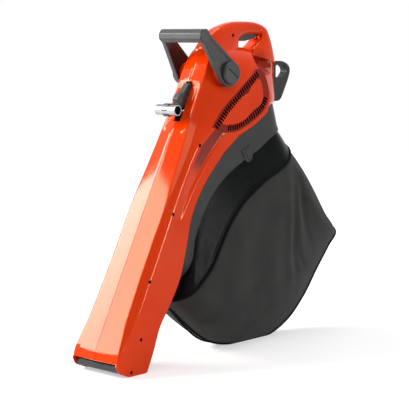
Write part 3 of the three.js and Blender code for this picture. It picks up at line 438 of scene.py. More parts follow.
leverMetal = brushedMetal("satin silver", (0.3, 0.31, 0.325), (0.26, 0.38), (40, 1, 1), 60)
turnedSteel = brushedMetal("turned steel", (0.5, 0.51, 0.53), (0.25, 0.4), (30, 1, 1), 80)
castDeck = brushedMetal("cast aluminium", (0.5, 0.5, 0.52), (0.4, 0.6), (1, 1, 1), 400)
laminatedCore = brushedMetal("laminated core", (0.2, 0.19, 0.18), (0.45, 0.6), (1, 12, 24), 90)
screwSteel = brushedMetal("blackened steel", (0.006, 0.006, 0.0065), (0.85, 0.95), (1, 1, 1), 500)


def wovenCloth(name, dark, light, threads, weaveDepth, sheen=0.08, gloss=0.2):
    mat = newMaterial(name, light, 0.85, Sheen_Weight=sheen, Sheen_Roughness=0.5,
                      Specular_IOR_Level=gloss)
    shader = shaderOf(mat)
    uv = coords(mat, source="UV")
    waves = []
    for direction in ("X", "Y"):  # warp and weft
        wave = addNode(mat, "TexWave", Scale=threads, Distortion=0.6, Detail_Scale=3)
        wave.bands_direction = direction
        join(mat, uv, wave.inputs["Vector"])
        waves.append(wave.outputs["Fac"])
    weave = multiplied(mat, *waves)
    mottled = spread(mat, noise(mat, 14, 6), 0, 1)
    join(mat, colorBetween(mat, mottled, dark, light), shader.inputs["Base Color"])
    join(mat, spread(mat, weave, 0.78, 0.92, 0, 1), shader.inputs["Roughness"])
    soft = bump(mat, noise(mat, 45, 4), 0.35, 0.0012)
    join(mat, bump(mat, weave, 0.6, weaveDepth, soft), shader.inputs["Normal"])
    return mat


bagCloth = wovenCloth("charcoal bag cloth", (0.014, 0.0137, 0.013), (0.026, 0.0254, 0.024), 420, 0.0005)
bindingCloth = wovenCloth("black binding", (0.002, 0.002, 0.002), (0.004, 0.004, 0.004), 300, 0.0004,
                          0, 0.06)
print("materials ready")

# housing: lofted shell with rear handle, cut open and parted along its seam
shell = {"nozzleHalf": 86, "bodyHalf": 76, "wall": 3, "foot": -70, "top": 918, "fanFrom": 620,
         "backY": 662, "spineHalf": 15, "ribs": 96, "innerRibs": 48, "ribCrowd": 0.94, "seamGap": 0.12,
         "corners": (12, 4), "cornerFade": (110, 200), "cornerBulge": 0.08, "cornerSteps": 8,
         "bevelSwell": 0.12, "bevelDepth": 0.42, "bevelRadius": 9, "creaseRadius": 11, "facetRadius": 2.6,
         "recessStep": 9, "recessRadius": 2.5, "spineSteps": 8, "grooveHalf": 0.7, "grooveDepth": 1.0,
         "frontSteps": 14, "frontCrowd": 1.4, "frontCurve": 0.4, "frontPoints": 30,
         "grooveEdges": (0.6, 1.4), "grooveLip": 0.15, "dipEdges": (0.1, 0.05), "cornerClear": 3,
         "lipRoll": 5, "lipEnd": (-6, 14), "lipDepth": (6, 20)}
scoop = {"y": 576, "z": 838, "reach": 60, "half": 62, "waist": 22}
pocket = {"half": 40, "top": 806, "foot": 640, "depth": 5, "arch": 14, "edge": 13, "ramp": 60,
          "sides": (0.7, 1.05)}
halfWide, bodyHalf, backY = shell["nozzleHalf"], shell["bodyHalf"], shell["backY"]
sideFall = bodyHalf - shell["spineHalf"]

# lengths of the section against the way along the front edge, from the nozzle up
depthAt = through([[-70, 135], [60, 135], [150, 128.5], [270, 140], [360, 126], [450, 108.5],
                   [540, 116], [620, 139], [660, 153.5]])
facetAt = through([[0, halfWide - 1], [50, halfWide - 6], [110, bodyHalf - 4], [290, bodyHalf - 10],
                   [420, bodyHalf - 10], [560, 55], [700, 46], [850, 44], [885, 36], [918, 18]])
crownAt = through([[0, 3.4], [60, 3.8], [440, 8], [700, 9], [918, 6]])
halfAt = through([[0, halfWide], [110, halfWide - 2], [230, bodyHalf + 5], [425, bodyHalf + 2],
                  [560, bodyHalf], [835, bodyHalf], [860, bodyHalf - 4], [885, 58], [905, 38], [918, 21]])
creaseAt = through([[0, 6], [50, 21], [110, 26], [230, 29], [425, 34], [634, 47], [700, 78],
                    [740, 94], [780, 111], [815, 127], [850, 143], [918, 170]])
dipAt = through([[400, 0], [470, 4], [520, 6], [600, 7], [660, 5], [705, 0]])
dipEndAt = through([[-70, 70], [450, 74], [554, 88], [683, 124], [740, 156], [780, 190], [815, 224],
                    [918, 235]])
# ribs over the fan: way along the front edge, y and z of the back, depth and fall of its corner
fanRibs = [[620, *at(620, 139), 4, 4], [660, 386, 571, 4, 4], [700, 442, 611, 4, 4],
           [740, 512, 640, 4, 4], [780, 586, 666, 24, 40], [815, backY, 698, 84, sideFall],
           [850, backY, 775, 110, sideFall], [885, backY - 3, 822, 100, 43],
           [905, backY - 6, 841, 76, 23], [918, backY - 10, 850, 60, 6]]


def between(column):  # value of one column of the fan ribs, straight from rib to rib
    def value(s):
        i = next((k for k, r in enumerate(fanRibs) if r[0] > s), len(fanRibs) - 1)
        a, b = fanRibs[max(i - 1, 0)], fanRibs[i]
        t = min(max((s - a[0]) / max(b[0] - a[0], 1e-6), 0), 1)
        return a[column] + (b[column] - a[column]) * t
    return value


fanY, fanZ, fanCornerDepth, fanCornerSide = (between(k) for k in (1, 2, 3, 4))


def pocketDip(x, s, d):  # shallow hollow round the selector with a crescent-shaped upper wall
    top = d["top"] - d["arch"] * (x / d["half"]) ** 2
    fall = 1 - smoothStep(top - d["edge"], top, s)
    rise = smoothStep(d["foot"], d["foot"] + d["ramp"], s)
    near, far = d["sides"]
    return d["depth"] * fall * rise * (1 - smoothStep(d["half"] * near, d["half"] * far, abs(x)))


def frontFace(edge, d, inset):  # from the middle to the facet's edge, closer in the middle
    count = d["frontSteps"]
    face = []
    for k in range(count):
        x = edge.x * (k / count) ** d["frontCrowd"]
        y = inset + (edge.y - inset) * k / count * (k / count) ** d["frontCurve"]
        face.append(Vector((x, y)))
    if inset == 0:  # the outer skin has a fine groove where its halves part
        face[1].x, face[2].x = (d["grooveHalf"] * edge for edge in d["grooveEdges"])
        face[0].y, face[1].y = d["grooveDepth"], d["grooveLip"]
    return face


def rearCorner(half, back, fall, depth, d):  # falls in to the spine nearly straight, a little swollen
    corner = []
    for t in (k / d["cornerSteps"] for k in range(d["cornerSteps"] + 1)):
        swell = d["cornerBulge"] * math.sin(math.pi * t)
        corner.append((half - fall * (t - swell), back - depth * (1 - t - swell)))
    return corner


def shellSection(s, d, inset=0.0):  # half section of the rib at s, from front to back
    half, facet, crown = halfAt(s) - inset, facetAt(s) - inset * 0.6, crownAt(s) + inset
    front = Vector(at(s, 0))
    if s < d["fanFrom"]:
        back = Vector(at(s, depthAt(s)))
        low, high = d["corners"]
        cornerDepth = cornerSide = low - (low - high) * smoothStep(*d["cornerFade"], s)
    else:
        back = Vector((fanY(s), fanZ(s)))
        cornerDepth, cornerSide = fanCornerDepth(s), fanCornerSide(s)
    depth = (back - front).length
    crease, dip = creaseAt(s), dipAt(s)
    dipEnd = min(dipEndAt(s), depth - cornerDepth - d["cornerClear"])  # it ends before the corner
    nearEnd, pastEnd = (half - dip * share for share in d["dipEdges"])
    middle = (facet + half) / 2 + (half - facet) * d["bevelSwell"]
    corner = rearCorner(half, depth - inset, cornerSide, max(cornerDepth - inset, 1), d)
    line = [(0, inset), (facet, crown), (middle, crown + (crease - crown) * d["bevelDepth"]),
            (half, crease + inset * 0.3), (half - dip, dipEnd - d["recessStep"]),
            (nearEnd, dipEnd), (pastEnd, (dipEnd + corner[0][1]) / 2)]
    turns = roundedLine(line, [0, d["facetRadius"], d["bevelRadius"], d["creaseRadius"],
                               d["recessRadius"], d["recessRadius"], 0])[1:]
    points = frontFace(turns[0], d, inset) + turns + [Vector(p) for p in corner]
    last, steps = points[-1], d["spineSteps"]
    points += [Vector((last.x * (1 - k / steps), depth - inset)) for k in range(1, steps + 1)]
    if inset == 0:
        points[-1].y -= d["grooveDepth"]
        points[-2].x = d["grooveHalf"]
    for p in points[:d["frontPoints"]]:
        p.y += pocketDip(p.x, s, pocket)
        p.y += d["lipRoll"] * (1 - smoothStep(*d["lipEnd"], s)) * (1 - smoothStep(*d["lipDepth"], p.y))
    axis = (back - front).normalized()
    return [mm(p.x, *(front + axis * p.y)) for p in points]


def mirrorWhole(bm):
    bmesh.ops.mirror(bm, geom=bm.verts[:] + bm.edges[:] + bm.faces[:], axis="X",
                     merge_dist=1e-5)


def closeEnds(bm):
    bmesh.ops.holes_fill(bm, edges=[e for e in bm.edges if e.is_boundary], sides=0)


def bodyForm(d, inset, ribs):
    bm = newMesh()
    low, high = d["foot"], d["top"] - inset * 3
    stations = [low + (high - low) * (i / (ribs - 1)) ** d["ribCrowd"] for i in range(ribs)]
    loft(bm, [shellSection(s, d, inset) for s in stations])
    mirrorWhole(bm)
    closeEnds(bm)
    faceOut(bm)
    return bm


handle = {"outer": [[352, 842], [364, 868], [386, 895], [420, 915], [478, 931], [538, 934],
                    [592, 930], [backY - 34, 916], [backY - 18, 890], [backY - 9, 862],
                    [backY - 3, 832], [backY - 1, 812]],
          "inner": [[506, 836], [508, 858], [513, 879], [524, 891], [545, 897], [570, 898],
                    [596, 897], [609, 890], [600, 881], [580, 871], [558, 858], [542, 840]],
          "half": [42, 31, 25, 22, 20, 20, 20, 21, 24, 28, 34, 40], "levels": 64, "steps": 22,
          "sideRound": 0.6, "faceRound": 0.8}


def handleForm(d):  # squarish loops from the outer to the inner line, led over the handle
    bm = newMesh()
    outer, inner = splinePoints(d["outer"], d["levels"]), splinePoints(d["inner"], d["levels"])
    halfAlong = through([[i / (len(d["half"]) - 1), v] for i, v in enumerate(d["half"])])
    loops = []
    for i, (o, n) in enumerate(zip(outer, inner)):
        half = halfAlong(i / (d["levels"] - 1))
        loop = []
        for k in range(d["steps"] + 1):
            turn = math.pi * k / d["steps"]
            c = math.cos(turn)
            x = half * math.sin(turn) ** d["sideRound"] if 0 < k < d["steps"] else 0
            share = (1 - math.copysign(abs(c) ** d["faceRound"], c)) / 2
            loop.append(mm(x, *(o + (n - o) * share)))
        loops.append(loop)
    loft(bm, loops)
    mirrorWhole(bm)
    closeEnds(bm)
    faceOut(bm)
    return bm


ventUpper = [[330, 642], [373, 689], [423, 729], [470, 764], [519, 801]]
ventLower = [[519, 801], [548, 790], [564, 756], [570, 718], [548, 680], [492, 648], [434, 627],
             [380, 626], [330, 642]]
ventCentre = Vector((490, 710))
mouthOutline = [[-120, 60], [-56, 46], [-48, 34], [-42, 20], [-34, 13], [-4, 0.8], [4, 0], [54, 0],
                [66, 1.5], [78, 7], [86, 18], [92, 36], [200, 60], [200, -160], [-120, -160]]
gland = {"radius": 9, "bore": 4, "y": backY - 5, "z": 850, "ribs": 3, "gap": 0.3}
pivotAt = at(855.5, 54)
leverAt = at(761, 19)
tubeScrews = {"screw_nozzle_low": (-11, 68.5), "screw_nozzle_high": (79, 65), "screw_tube_low": (230, 30),
              "screw_tube_high": (425, 35), "screw_waist": (634, 50)}
screws = {"headRadius": 4.6, "depth": 3, "gap": 0.5,
          "places": {name: (*at(s, d), halfAt(s)) for name, (s, d) in tubeScrews.items()}}
screws["places"]["screw_handle"] = (474, 894, 22.5)
# openings of the housing: (half width, along from and to, depth from and to), or two corners
cuts = {"selectorSlot": (12.5, 684, 804, -20, 14), "outletMouth": (58, 680, 715, 140, 330),
        "lipGroove": (beyond, 12, 15.5, -10, 2.7),
        "triggerSlot": ((-7.5, 517, 880), (7.5, 612, 902.5)),
        "rollerBay": ((4 - halfWide, -90, -20), (halfWide - 4, 5, 40.5)), "axleInset": 1.5}
hub = {"radius": 30, "inner": 30, "outer": 75}


def ventOutline(grow, steps=28):
    upper = splinePoints(ventUpper, steps)
    lower = splinePoints(ventLower, steps)[1:-1]
    points = []
    for p in upper + lower:
        away = p - ventCentre
        points.append(ventCentre + away * (1 + grow / away.length))
    return points


def leanBox(bm, xHalf, s0, s1, d0, d1):  # box in the leaning frame of the front edge
    prismX(bm, [at(s0, d0), at(s0, d1), at(s1, d1), at(s1, d0)], -xHalf, xHalf)


def smallCutters(bm):
    leanBox(bm, *cuts["selectorSlot"])
    leanBox(bm, *cuts["outletMouth"])
    addBox(bm, *(mm(*corner) for corner in cuts["triggerSlot"]))
    for side in (-1, 1):
        prismX(bm, ventOutline(0.3), side * 60, side * 120)
    glandRadius = (gland["radius"] + gland["gap"]) / 1000
    bmesh.ops.create_cone(bm, cap_ends=True, segments=40, radius1=glandRadius, radius2=glandRadius,
                          depth=0.06, matrix=Matrix.Translation(mm(0, gland["y"], gland["z"]))
                          @ Matrix.Rotation(math.pi / 2, 4, "X"))
    for y, z, face in screws["places"].values():
        drawnRod(bm, y, z, screws["headRadius"] + screws["gap"], face - screws["depth"], face + 20, 20)


def housingCutters():  # disjoint shapes share one cutter
    axleHalf = halfWide - cuts["axleInset"]
    return [cutterFrom(make) for make in (
        lambda bm: prismX(bm, mouthOutline, -beyond, beyond),
        lambda bm: addBox(bm, *(mm(*corner) for corner in cuts["rollerBay"])),
        lambda bm: leanBox(bm, *cuts["lipGroove"]),
        lambda bm: drawnRod(bm, *rollerAt, axleRadius, -axleHalf, axleHalf),
        smallCutters)]


def scoopCutter(d, grow=0.0):  # hollow for the fingers in each side, under the opening
    bm = newMesh()
    for side in (-1, 1):
        place = Matrix.Translation(mm(side * (d["half"] + d["waist"]), d["y"], d["z"]))
        size = Matrix.Diagonal([v / 1000 for v in (d["half"] + grow, d["reach"] + grow,
                                                   d["reach"] + grow)] + [1])
        bmesh.ops.create_uvsphere(bm, u_segments=96, v_segments=64, radius=1, matrix=place @ size)
    return toObject(bm, "cutter")


# painted shade, a deeper red where shade falls on the moulding: the scoops, which fade towards their rim and
# their top, the parting line, the groove behind the lip, and the dip behind the crease, which fades in from
# below
paintedShadeRed = {"scoopSkin": (0.98, 1.003), "scoop": 0.85, "rimFade": (0, 34), "topFade": (42, 8),
           "inside": 0.8, "insideFade": (0.98, 0.62), "seamWiden": 1.2, "seamDepth": 20, "seamEnd": 600,
           "lipFrom": 11.5, "lipTo": 16, "lipDepth": 12, "dipFrom": 545, "dipFull": 600, "dipTo": 726,
           "dipInner": 50, "dipBelow": 9}


def paintShade(obj, rule):  # the rule gives the share of painted shade, a deeper red, at each corner of a face
    marks = obj.data.attributes.new("paintedShade", "FLOAT", "CORNER")
    lift = Vector((0, -shiftY, 0))
    for face in obj.data.polygons:
        spots = [(obj.data.vertices[index].co + lift) * 1000 for index in face.vertices]
        for corner, share in zip(face.loop_indices, rule(spots)):
            marks.data[corner].value = float(share)


def scoopReach(place):  # 1 on the surface of the scoop
    return Vector(((abs(place.x) - scoop["half"] - scoop["waist"]) / scoop["half"],
                   (place.y - scoop["y"]) / scoop["reach"],
                   (place.z - scoop["z"]) / scoop["reach"])).length


def housingPaintedShade(spots):  # a share of painted shade for each corner of a face, from their places
    d = paintedShadeRed
    reach = [scoopReach(place) for place in spots]
    low, high = d["scoopSkin"]
    if all(low < share < high for share in reach):
        top, foot = (scoop["z"] + rise for rise in d["topFade"])
        return [d["scoop"] * smoothStep(*d["rimFade"], bodyHalf - abs(place.x))
                * smoothStep(top, foot, place.z) for place in spots]
    if min(reach) < low:
        return [d["inside"] * smoothStep(*d["insideFade"], share) for share in reach]
    middle = sum(spots, Vector()) / len(spots)
    s, depth = alongOf(middle.y, middle.z)
    onSeam = (abs(middle.x) < d["seamWiden"] * shell["grooveHalf"] and depth < d["seamDepth"]
              and s < d["seamEnd"])
    if onSeam or (d["lipFrom"] < s < d["lipTo"] and depth < d["lipDepth"]):
        return [1] * len(spots)
    inDip = (abs(middle.x) >= d["dipInner"] and d["dipFrom"] < s < d["dipTo"]
             and creaseAt(s) + d["dipBelow"] < depth < dipEndAt(s) - shell["recessStep"])
    if not inDip:
        return [0] * len(spots)
    return [smoothStep(d["dipFrom"], d["dipFull"], alongOf(place.y, place.z)[0]) for place in spots]


def makeHousing(d):
    body = toObject(bodyForm(d, 0, d["ribs"]), "housing")
    cutBy(body, scoopCutter(scoop))
    cutBy(body, toObject(handleForm(handle), "handle form"), "UNION")
    hubs = newMesh()
    for side in (-1, 1):
        drawnRod(hubs, *pivotAt, hub["radius"], *sorted((side * hub["inner"], side * hub["outer"])), 64)
    cutBy(body, toObject(hubs, "hubs"), "UNION")
    hollow = toObject(bodyForm(d, d["wall"], d["innerRibs"]), "hollow")
    cutBy(hollow, scoopCutter(scoop, d["wall"]))
    cutBy(body, hollow)
    for cutter in housingCutters():
        cutBy(body, cutter)
    for side, word in sideWords.items():
        half = body.copy()
        half.data = body.data.copy()
        bpy.context.scene.collection.objects.link(half)
        keep = newMesh()
        x0, x1 = sorted((side * d["seamGap"] / 1000, side * 0.5))
        addBox(keep, Vector((x0, -2, -1)), Vector((x1, 2, 2)))
        cutBy(half, toObject(keep, "half space"), "INTERSECT")
        bm = newMesh()
        bm.from_mesh(half.data)
        bmesh.ops.remove_doubles(bm, verts=bm.verts, dist=2e-5)
        done = toObject(bm, "housing" + word + "Shell", 30)
        bpy.data.objects.remove(half)
        evenNormals(done)
        finishPiece(done, shellPlastic, "root", "shell", "housing_" + word.lower())
        # painted shade on each half: the scoops, parting line, lip groove and dip take the deeper red
        paintShade(done, housingPaintedShade)
    bpy.data.objects.remove(body)


makeHousing(shell)
print("housing done")

# vent covers: a slotted border round a raised field, with a black sheet behind as painted shade in the slots
vents = {"panel": 9, "panelEdge": 0.6, "raise": 4.0, "fieldFoot": 1.2, "fieldEdge": 2, "border": 29,
         "slotWidth": 5.8, "slotLength": 19, "slotRound": 1.15, "margin": 4, "lineSteps": 400,
         "rows": ((ventUpper, 25, 0.05, 0.96), (ventLower, 21, 0.3, 0.82)), "slotReach": 12, "slotSlack": 0.4,
         "behind": 9.4, "shadeSheet": 1.5, "shadeSheetInset": 6, "shadeBelow": 1.8}


def slotShapes(d):  # round-ended slots that stand square to the edge of the cover
    half = d["slotWidth"] / 2
    last = d["lineSteps"] - 1
    for edge, count, start, end in d["rows"]:
        line = splinePoints(edge, d["lineSteps"])
        for i in range(count):
            k = round((start + (end - start) * i / (count - 1)) * last)
            run = (line[k + 1] - line[k - 1]).normalized()
            inwards = Vector((run.y, -run.x))
            shape = []
            for far, swing in ((half, 1), (d["slotLength"] - half, -1)):
                for turn in (-60, -20, 20, 60):
                    t = math.radians(turn * swing)
                    reach = d["margin"] + far - swing * half * math.cos(t)
                    shape.append(line[k] + inwards * reach + run * half * math.sin(t) * d["slotRound"])
            yield shape


def blacken(obj, rule, finish=blackPlasticAndShade):  # the faces that the rule picks take a dark finish
    obj.data.materials.append(finish)
    for face in obj.data.polygons:
        place = Vector((face.center.x, face.center.y - shiftY, face.center.z)) * 1000
        face.material_index = int(rule(place, face.normal))


def inSlot(place, shapes, d):  # inside a slot's outline, or hardly outside it
    spot = Vector((place.y, place.z))
    for shape in shapes:
        if (spot - (shape[0] + shape[5]) / 2).length < d["slotReach"]:
            edges = zip(shape, shape[1:] + shape[:1])
            sides = [(b - a).cross(spot - a) / (b - a).length for a, b in edges]
            if min(sides) > -d["slotSlack"] or max(sides) < d["slotSlack"]:
                return True
    return False


def makeVentCover(side, d):
    word = sideWords[side]
    face = side * bodyHalf
    shapes = list(slotShapes(d))
    cover = plate("ventCover" + word, ventOutline(0), face - side * d["panel"], face, d["panelEdge"], 2, 60)
    field = plate("field", ventOutline(-d["border"]), face - side * d["fieldFoot"],
                  face + side * d["raise"], d["fieldEdge"], 4, 60)
    cutBy(cover, field, "UNION")
    slots = newMesh()
    for shape in shapes:
        prismX(slots, shape, face - side * 20, face + side * 20)
    faceOut(slots)
    cutBy(cover, toObject(slots, "slots"))
    markSharp(cover)
    finishPiece(cover, shellPlastic, "root", "shell", "vent_cover_" + word.lower())
    # painted shade: the cover's border round the raised field, below the face, takes the deeper red
    border = bodyHalf + d["shadeBelow"]
    paintShade(cover, lambda spots: [max(p.x * side for p in spots) < border] * len(spots))
    # painted shade: the walls of the slots are black
    blacken(cover, lambda place, normal: abs(normal.x) < 0.5 and inSlot(place, shapes, d), slotShadeBlack)
    # a black sheet behind the slots stands in for the shade inside the housing
    shadeSheet = newMesh()
    depth = face - side * d["behind"]
    prismX(shadeSheet, ventOutline(-d["shadeSheetInset"]), *sorted((depth, depth - side * d["shadeSheet"])))
    addPiece(shadeSheet, "ventShadeSheet" + word, slotShadeBlack, "root", "black")


for side in sideWords:
    makeVentCover(side, vents)
print("vent covers done")

# nozzle roller
roller = {"radius": 13.5, "half": 81.4, "grooves": 18, "grooveHalf": 0.9, "depth": 0.6, "grooved": 0.94,
          "edge": 2}


def makeRoller(d):
    r, half, edge = d["radius"], d["half"], d["edge"]
    line = [(axleRadius, -half), (r - edge, -half), (r, edge - half)]
    for i in range(d["grooves"]):
        h = (i + 0.5 - d["grooves"] / 2) * 2 * half * d["grooved"] / d["grooves"]
        line += [(r, h - d["grooveHalf"]), (r - d["depth"], h), (r, h + d["grooveHalf"])]
    line += [(r, half - edge), (r - edge, half), (axleRadius, half)]
    bm = newMesh()
    spinProfile(bm, line, 40, onX(*rollerAt), True)
    addPiece(bm, "nozzleRoller", handlePlastic, "roller", "handle", "nozzle_roller")


makeRoller(roller)

# front bail: two tapered arms that lean in to an eight-sided grip, and clamp knobs
bail = {"boss": 38, "tip": 15, "leanIn": 11, "leanFrom": 50, "leanTo": 128, "inner": 75.3, "thick": 16,
        "edge": 2.6, "panelIn": 6.5, "panelSlope": 1.2, "panelDeep": 1.6, "gripFrom": (-88, 103),
        "gripHalf": 18.5, "gripTurn": 0.05, "gripEdge": 2.4, "capLength": 3.5, "grooveIn": 4,
        "grooveDeep": 0.9, "grooveHalf": 0.7, "core": 11, "bolt": 5.3}
gripAt = (pivotAt[0] + bail["gripFrom"][0], pivotAt[1] + bail["gripFrom"][1])


def beltOutline(a, radiusA, b, radiusB, steps=22):  # belt round two circles
    a, b = Vector(a), Vector(b)
    run = b - a
    heading = math.atan2(run.y, run.x)
    spread = math.acos((radiusA - radiusB) / run.length)
    points = []
    for centre, radius, start, end in (
            (a, radiusA, heading + spread, heading - spread + 2 * math.pi),
            (b, radiusB, heading - spread, heading + spread)):
        for k in range(steps + 1):
            t = start + (end - start) * k / steps
            points.append(centre + Vector((math.cos(t), math.sin(t))) * radius)
    return points


def faceTowards(bm, way):  # the largest flat face that looks that way
    return max((f for f in bm.faces if f.normal.dot(Vector(way)) > 0.99), key=lambda f: f.calc_area())


def makeBailArm(side, d):
    arm = newMesh()
    prismX(arm, beltOutline(pivotAt, d["boss"], gripAt, d["tip"]), side * d["inner"],
           side * (d["inner"] + d["thick"]))
    faceOut(arm)
    bevelSharp(arm, d["edge"], 4, 60)
    for way in (1, -1):
        face = faceTowards(arm, (way, 0, 0))
        bmesh.ops.inset_region(arm, faces=[face], thickness=d["panelIn"] / 1000, depth=0)
        bmesh.ops.inset_region(arm, faces=[face], thickness=d["panelSlope"] / 1000,
                               depth=-d["panelDeep"] / 1000)
    pivot = mm(0, *pivotAt)
    for vert in arm.verts:
        out = math.hypot(vert.co.y - pivot.y, vert.co.z - pivot.z) * 1000
        vert.co.x -= side * d["leanIn"] / 1000 * smoothStep(d["leanFrom"], d["leanTo"], out)
    return toObject(arm, "bailFrame")


def makeBailFrame(d):
    whole = makeBailArm(1, d)
    cutBy(whole, makeBailArm(-1, d), "UNION")
    reach = d["inner"] - d["leanIn"] + 4
    cutBy(whole, cutterFrom(lambda bm: drawnRod(bm, *gripAt, d["core"], -reach, reach)), "UNION")
    bore(whole, pivotAt, d["bolt"])
    markSharp(whole)
    finishPiece(whole, handlePlastic, "bail", "handle", "bail_frame")
    # painted shade: the arms' inner faces take black
    blacken(whole, lambda place, normal: place.x * normal.x < 0 and abs(normal.x) > 0.7)


def ringGroove(bm, centre, inner, outer, x, half):
    line = [(inner, x - half), (outer, x - half), (outer, x + half), (inner, x + half)]
    spinProfile(bm, line, 48, onX(*centre), True)


def makeBailGrip(d):
    corner = d["gripHalf"] / math.cos(math.pi / 8)
    turns = (d["gripTurn"] + math.pi / 8 * (2 * k + 1) for k in range(8))
    outline = [Vector(gripAt) + Vector((math.cos(t), math.sin(t))) * corner for t in turns]
    half = d["inner"] + d["thick"] - d["leanIn"] + 1
    grip = plate("bailGrip", outline, -half, half, d["gripEdge"], 4, 30)
    foot = d["gripHalf"] - d["grooveDeep"]
    for x in (-half + d["grooveIn"], half - d["grooveIn"]):  # they part the grip from its end caps
        cutBy(grip, cutterFrom(lambda bm: ringGroove(bm, gripAt, foot, 40, x, d["grooveHalf"])))
    markSharp(grip)
    finishPiece(grip, handlePlastic, "bail", "handle", "bail_grip")
    blacken(grip, lambda place, normal: abs(place.x) > half - d["capLength"])


knob = {"radius": 32, "thick": 12, "foot": 91.6, "slotHalf": 2.4, "slotReach": 25, "slotDeep": 3,
        "turn": -35, "bore": 5.3}


def roundedBar(reach, half, steps=8):
    turns = [math.pi * k / steps - math.pi / 2 for k in range(steps + 1)]
    far = [(reach - half + half * math.cos(t), half * math.sin(t)) for t in turns]
    return far + [(-u, -v) for u, v in far]


def makeKnob(side, d):
    word = sideWords[side]
    top, r = d["foot"] + d["thick"], d["radius"]
    line = [(d["bore"], d["foot"]), (r - 1.5, d["foot"]), (r, d["foot"] + 1.5), (r, top - 4),
            (r - 0.6, top - 2.6), (r - 2.2, top - 1.4), (r - 5, top - 0.7), (r - 9, top - 0.25),
            (r - 15, top), (0.001, top), (0.001, top - 4.7), (d["bore"], top - 4.7)]
    bm = newMesh()
    spinProfile(bm, [(radius, side * h) for radius, h in line], 72, onX(*pivotAt), True)
    faceOut(bm)
    piece = toObject(bm, "clampKnob" + word)
    t = math.radians(d["turn"])
    run, over = Vector((math.cos(t), math.sin(t))), Vector((-math.sin(t), math.cos(t)))
    slot = [Vector(pivotAt) + run * u + over * v for u, v in roundedBar(d["slotReach"], d["slotHalf"])]
    cutBy(piece, cutterFrom(lambda bm: prismX(bm, slot, side * (top - d["slotDeep"]), side * (top + 5))))
    markSharp(piece)
    finishPiece(piece, handlePlastic, "knob_" + word.lower(), "handle", "clamp_knob_" + word.lower())


makeBailFrame(bail)
makeBailGrip(bail)
for side in sideWords:
    makeKnob(side, knob)
print("bail done")

# selector lever: a fin on its shaft, with a tube across its end whose bore holds a black sleeve of painted
# shade
selector = {"half": 11, "edge": 1.8, "tube": 15, "bore": 12.6, "tubeHalf": 38, "shaft": 4.3, "gap": 0.3,
            "shadeSleeve": (1.2, 0.1), "shadeSleeveIn": 1.5,
            "finPivot": [(-13, 32), (-7, 40), (4, 42), (8, 22), (10, 3), (6, -7), (-12, -13)],
            "finGrip": [(26, -8), (14, -16), (0, -18.5), (-9, -16), (-16, 0), (-9, 16), (0, 18.5),
                        (12, 17), (24, 16), (31, 16), (27, 30), (33, 38), (41, 45), (50, 46), (58, 54)]}
tubeAt = at(698, -37.5)


def makeSelector(d):
    outline = [Vector(leverAt) + Vector(p) for p in d["finPivot"]]
    outline += [Vector(tubeAt) + Vector(p) for p in d["finGrip"]]
    arm = plate("selectorArm", outline, -d["half"], d["half"], d["edge"], 3, 15)
    bore(arm, tubeAt, d["tube"] + d["gap"], 48)
    bore(arm, leverAt, d["shaft"])
    markSharp(arm)
    finishPiece(arm, handlePlastic, "selector", "handle", "selector_arm")
    end, r = d["tubeHalf"], d["tube"]
    line = [(d["bore"], -end), (r - 0.8, -end), (r, 0.8 - end), (r, 5 - end), (r - 0.5, 5.6 - end),
            (r, 6.2 - end)]
    line += [(radius, -x) for radius, x in reversed(line)]
    # painted shade: a black sleeve inside the bore stands in for the shade in the tube
    inner, outer = (d["bore"] - thick for thick in d["shadeSleeve"])
    x = end - d["shadeSleeveIn"]
    shadeSleeve = [(inner, -x), (outer, -x), (outer, x), (inner, x)]
    tube, shadeSleeveMesh = newMesh(), newMesh()
    spinProfile(tube, line, 64, onX(*tubeAt), True)
    spinProfile(shadeSleeveMesh, shadeSleeve, 48, onX(*tubeAt), True)
    addPiece(tube, "selectorTube", leverMetal, "selector", "lever", "selector_grip")
    addPiece(shadeSleeveMesh, "selectorTubeShadeSleeve", blackPlasticAndShade, "selector", "black")


makeSelector(selector)

# trigger, cable gland, strap loop
trigger = {"half": 6.5, "edge": 2.2, "pin": (604, 906), "pinRadius": 2.3,
           "blade": [(519, 903), (519, 885), (523, 880), (530, 878), (546, 878), (580, 884), (598, 892),
                     (609, 899), (610, 907), (606, 911), (600, 911), (590, 906), (560, 905)]}


def makeTrigger(d):
    piece = plate("triggerBlade", d["blade"], -d["half"], d["half"], d["edge"], 4, 20)
    bore(piece, d["pin"], d["pinRadius"], 24)
    markSharp(piece)
    finishPiece(piece, handlePlastic, "trigger", "handle", "trigger")


def makeGland(d):
    r = d["radius"]
    line = [(d["bore"], -18), (r, -18), (r, 0.6), (r - 0.6, 1)]
    for h in (1.5 * k for k in range(d["ribs"])):
        line += [(r - 0.7, h + 1.2), (r, h + 1.6), (r, h + 2.3)]
    line += [(r - 2, 6), (d["bore"] + 0.6, 6), (d["bore"], 5.4)]
    bm = newMesh()
    turn = Matrix.Translation(mm(0, d["y"], d["z"])) @ Matrix.Rotation(-math.pi / 2, 4, "X")
    spinProfile(bm, line, 40, turn, True)
    addPiece(bm, "cableGland", blackPlasticAndShade, "root", "black", "cable_gland")


strap = {"half": 13, "edge": 3.2, "holeEdge": 2.4, "turn": 7, "holeTurn": 6, "foot": backY + 0.6,
         "outline": [(0, 700), (0, 813), (6, 819), (44, 819), (66, 812), (78, 802), (81, 788),
                     (71, 762), (42, 710), (31, 701)],
         "hole": [(13, 770), (50, 770), (65, 788), (62, 798), (52, 807), (13, 807)]}


def softened(outline, radius):  # closed outline whose corners are rounded
    points = [Vector(p) for p in outline]
    mid = (points[-1] + points[0]) / 2
    return roundedLine([mid] + points + [mid], [0] + [radius] * len(points))[:-1]


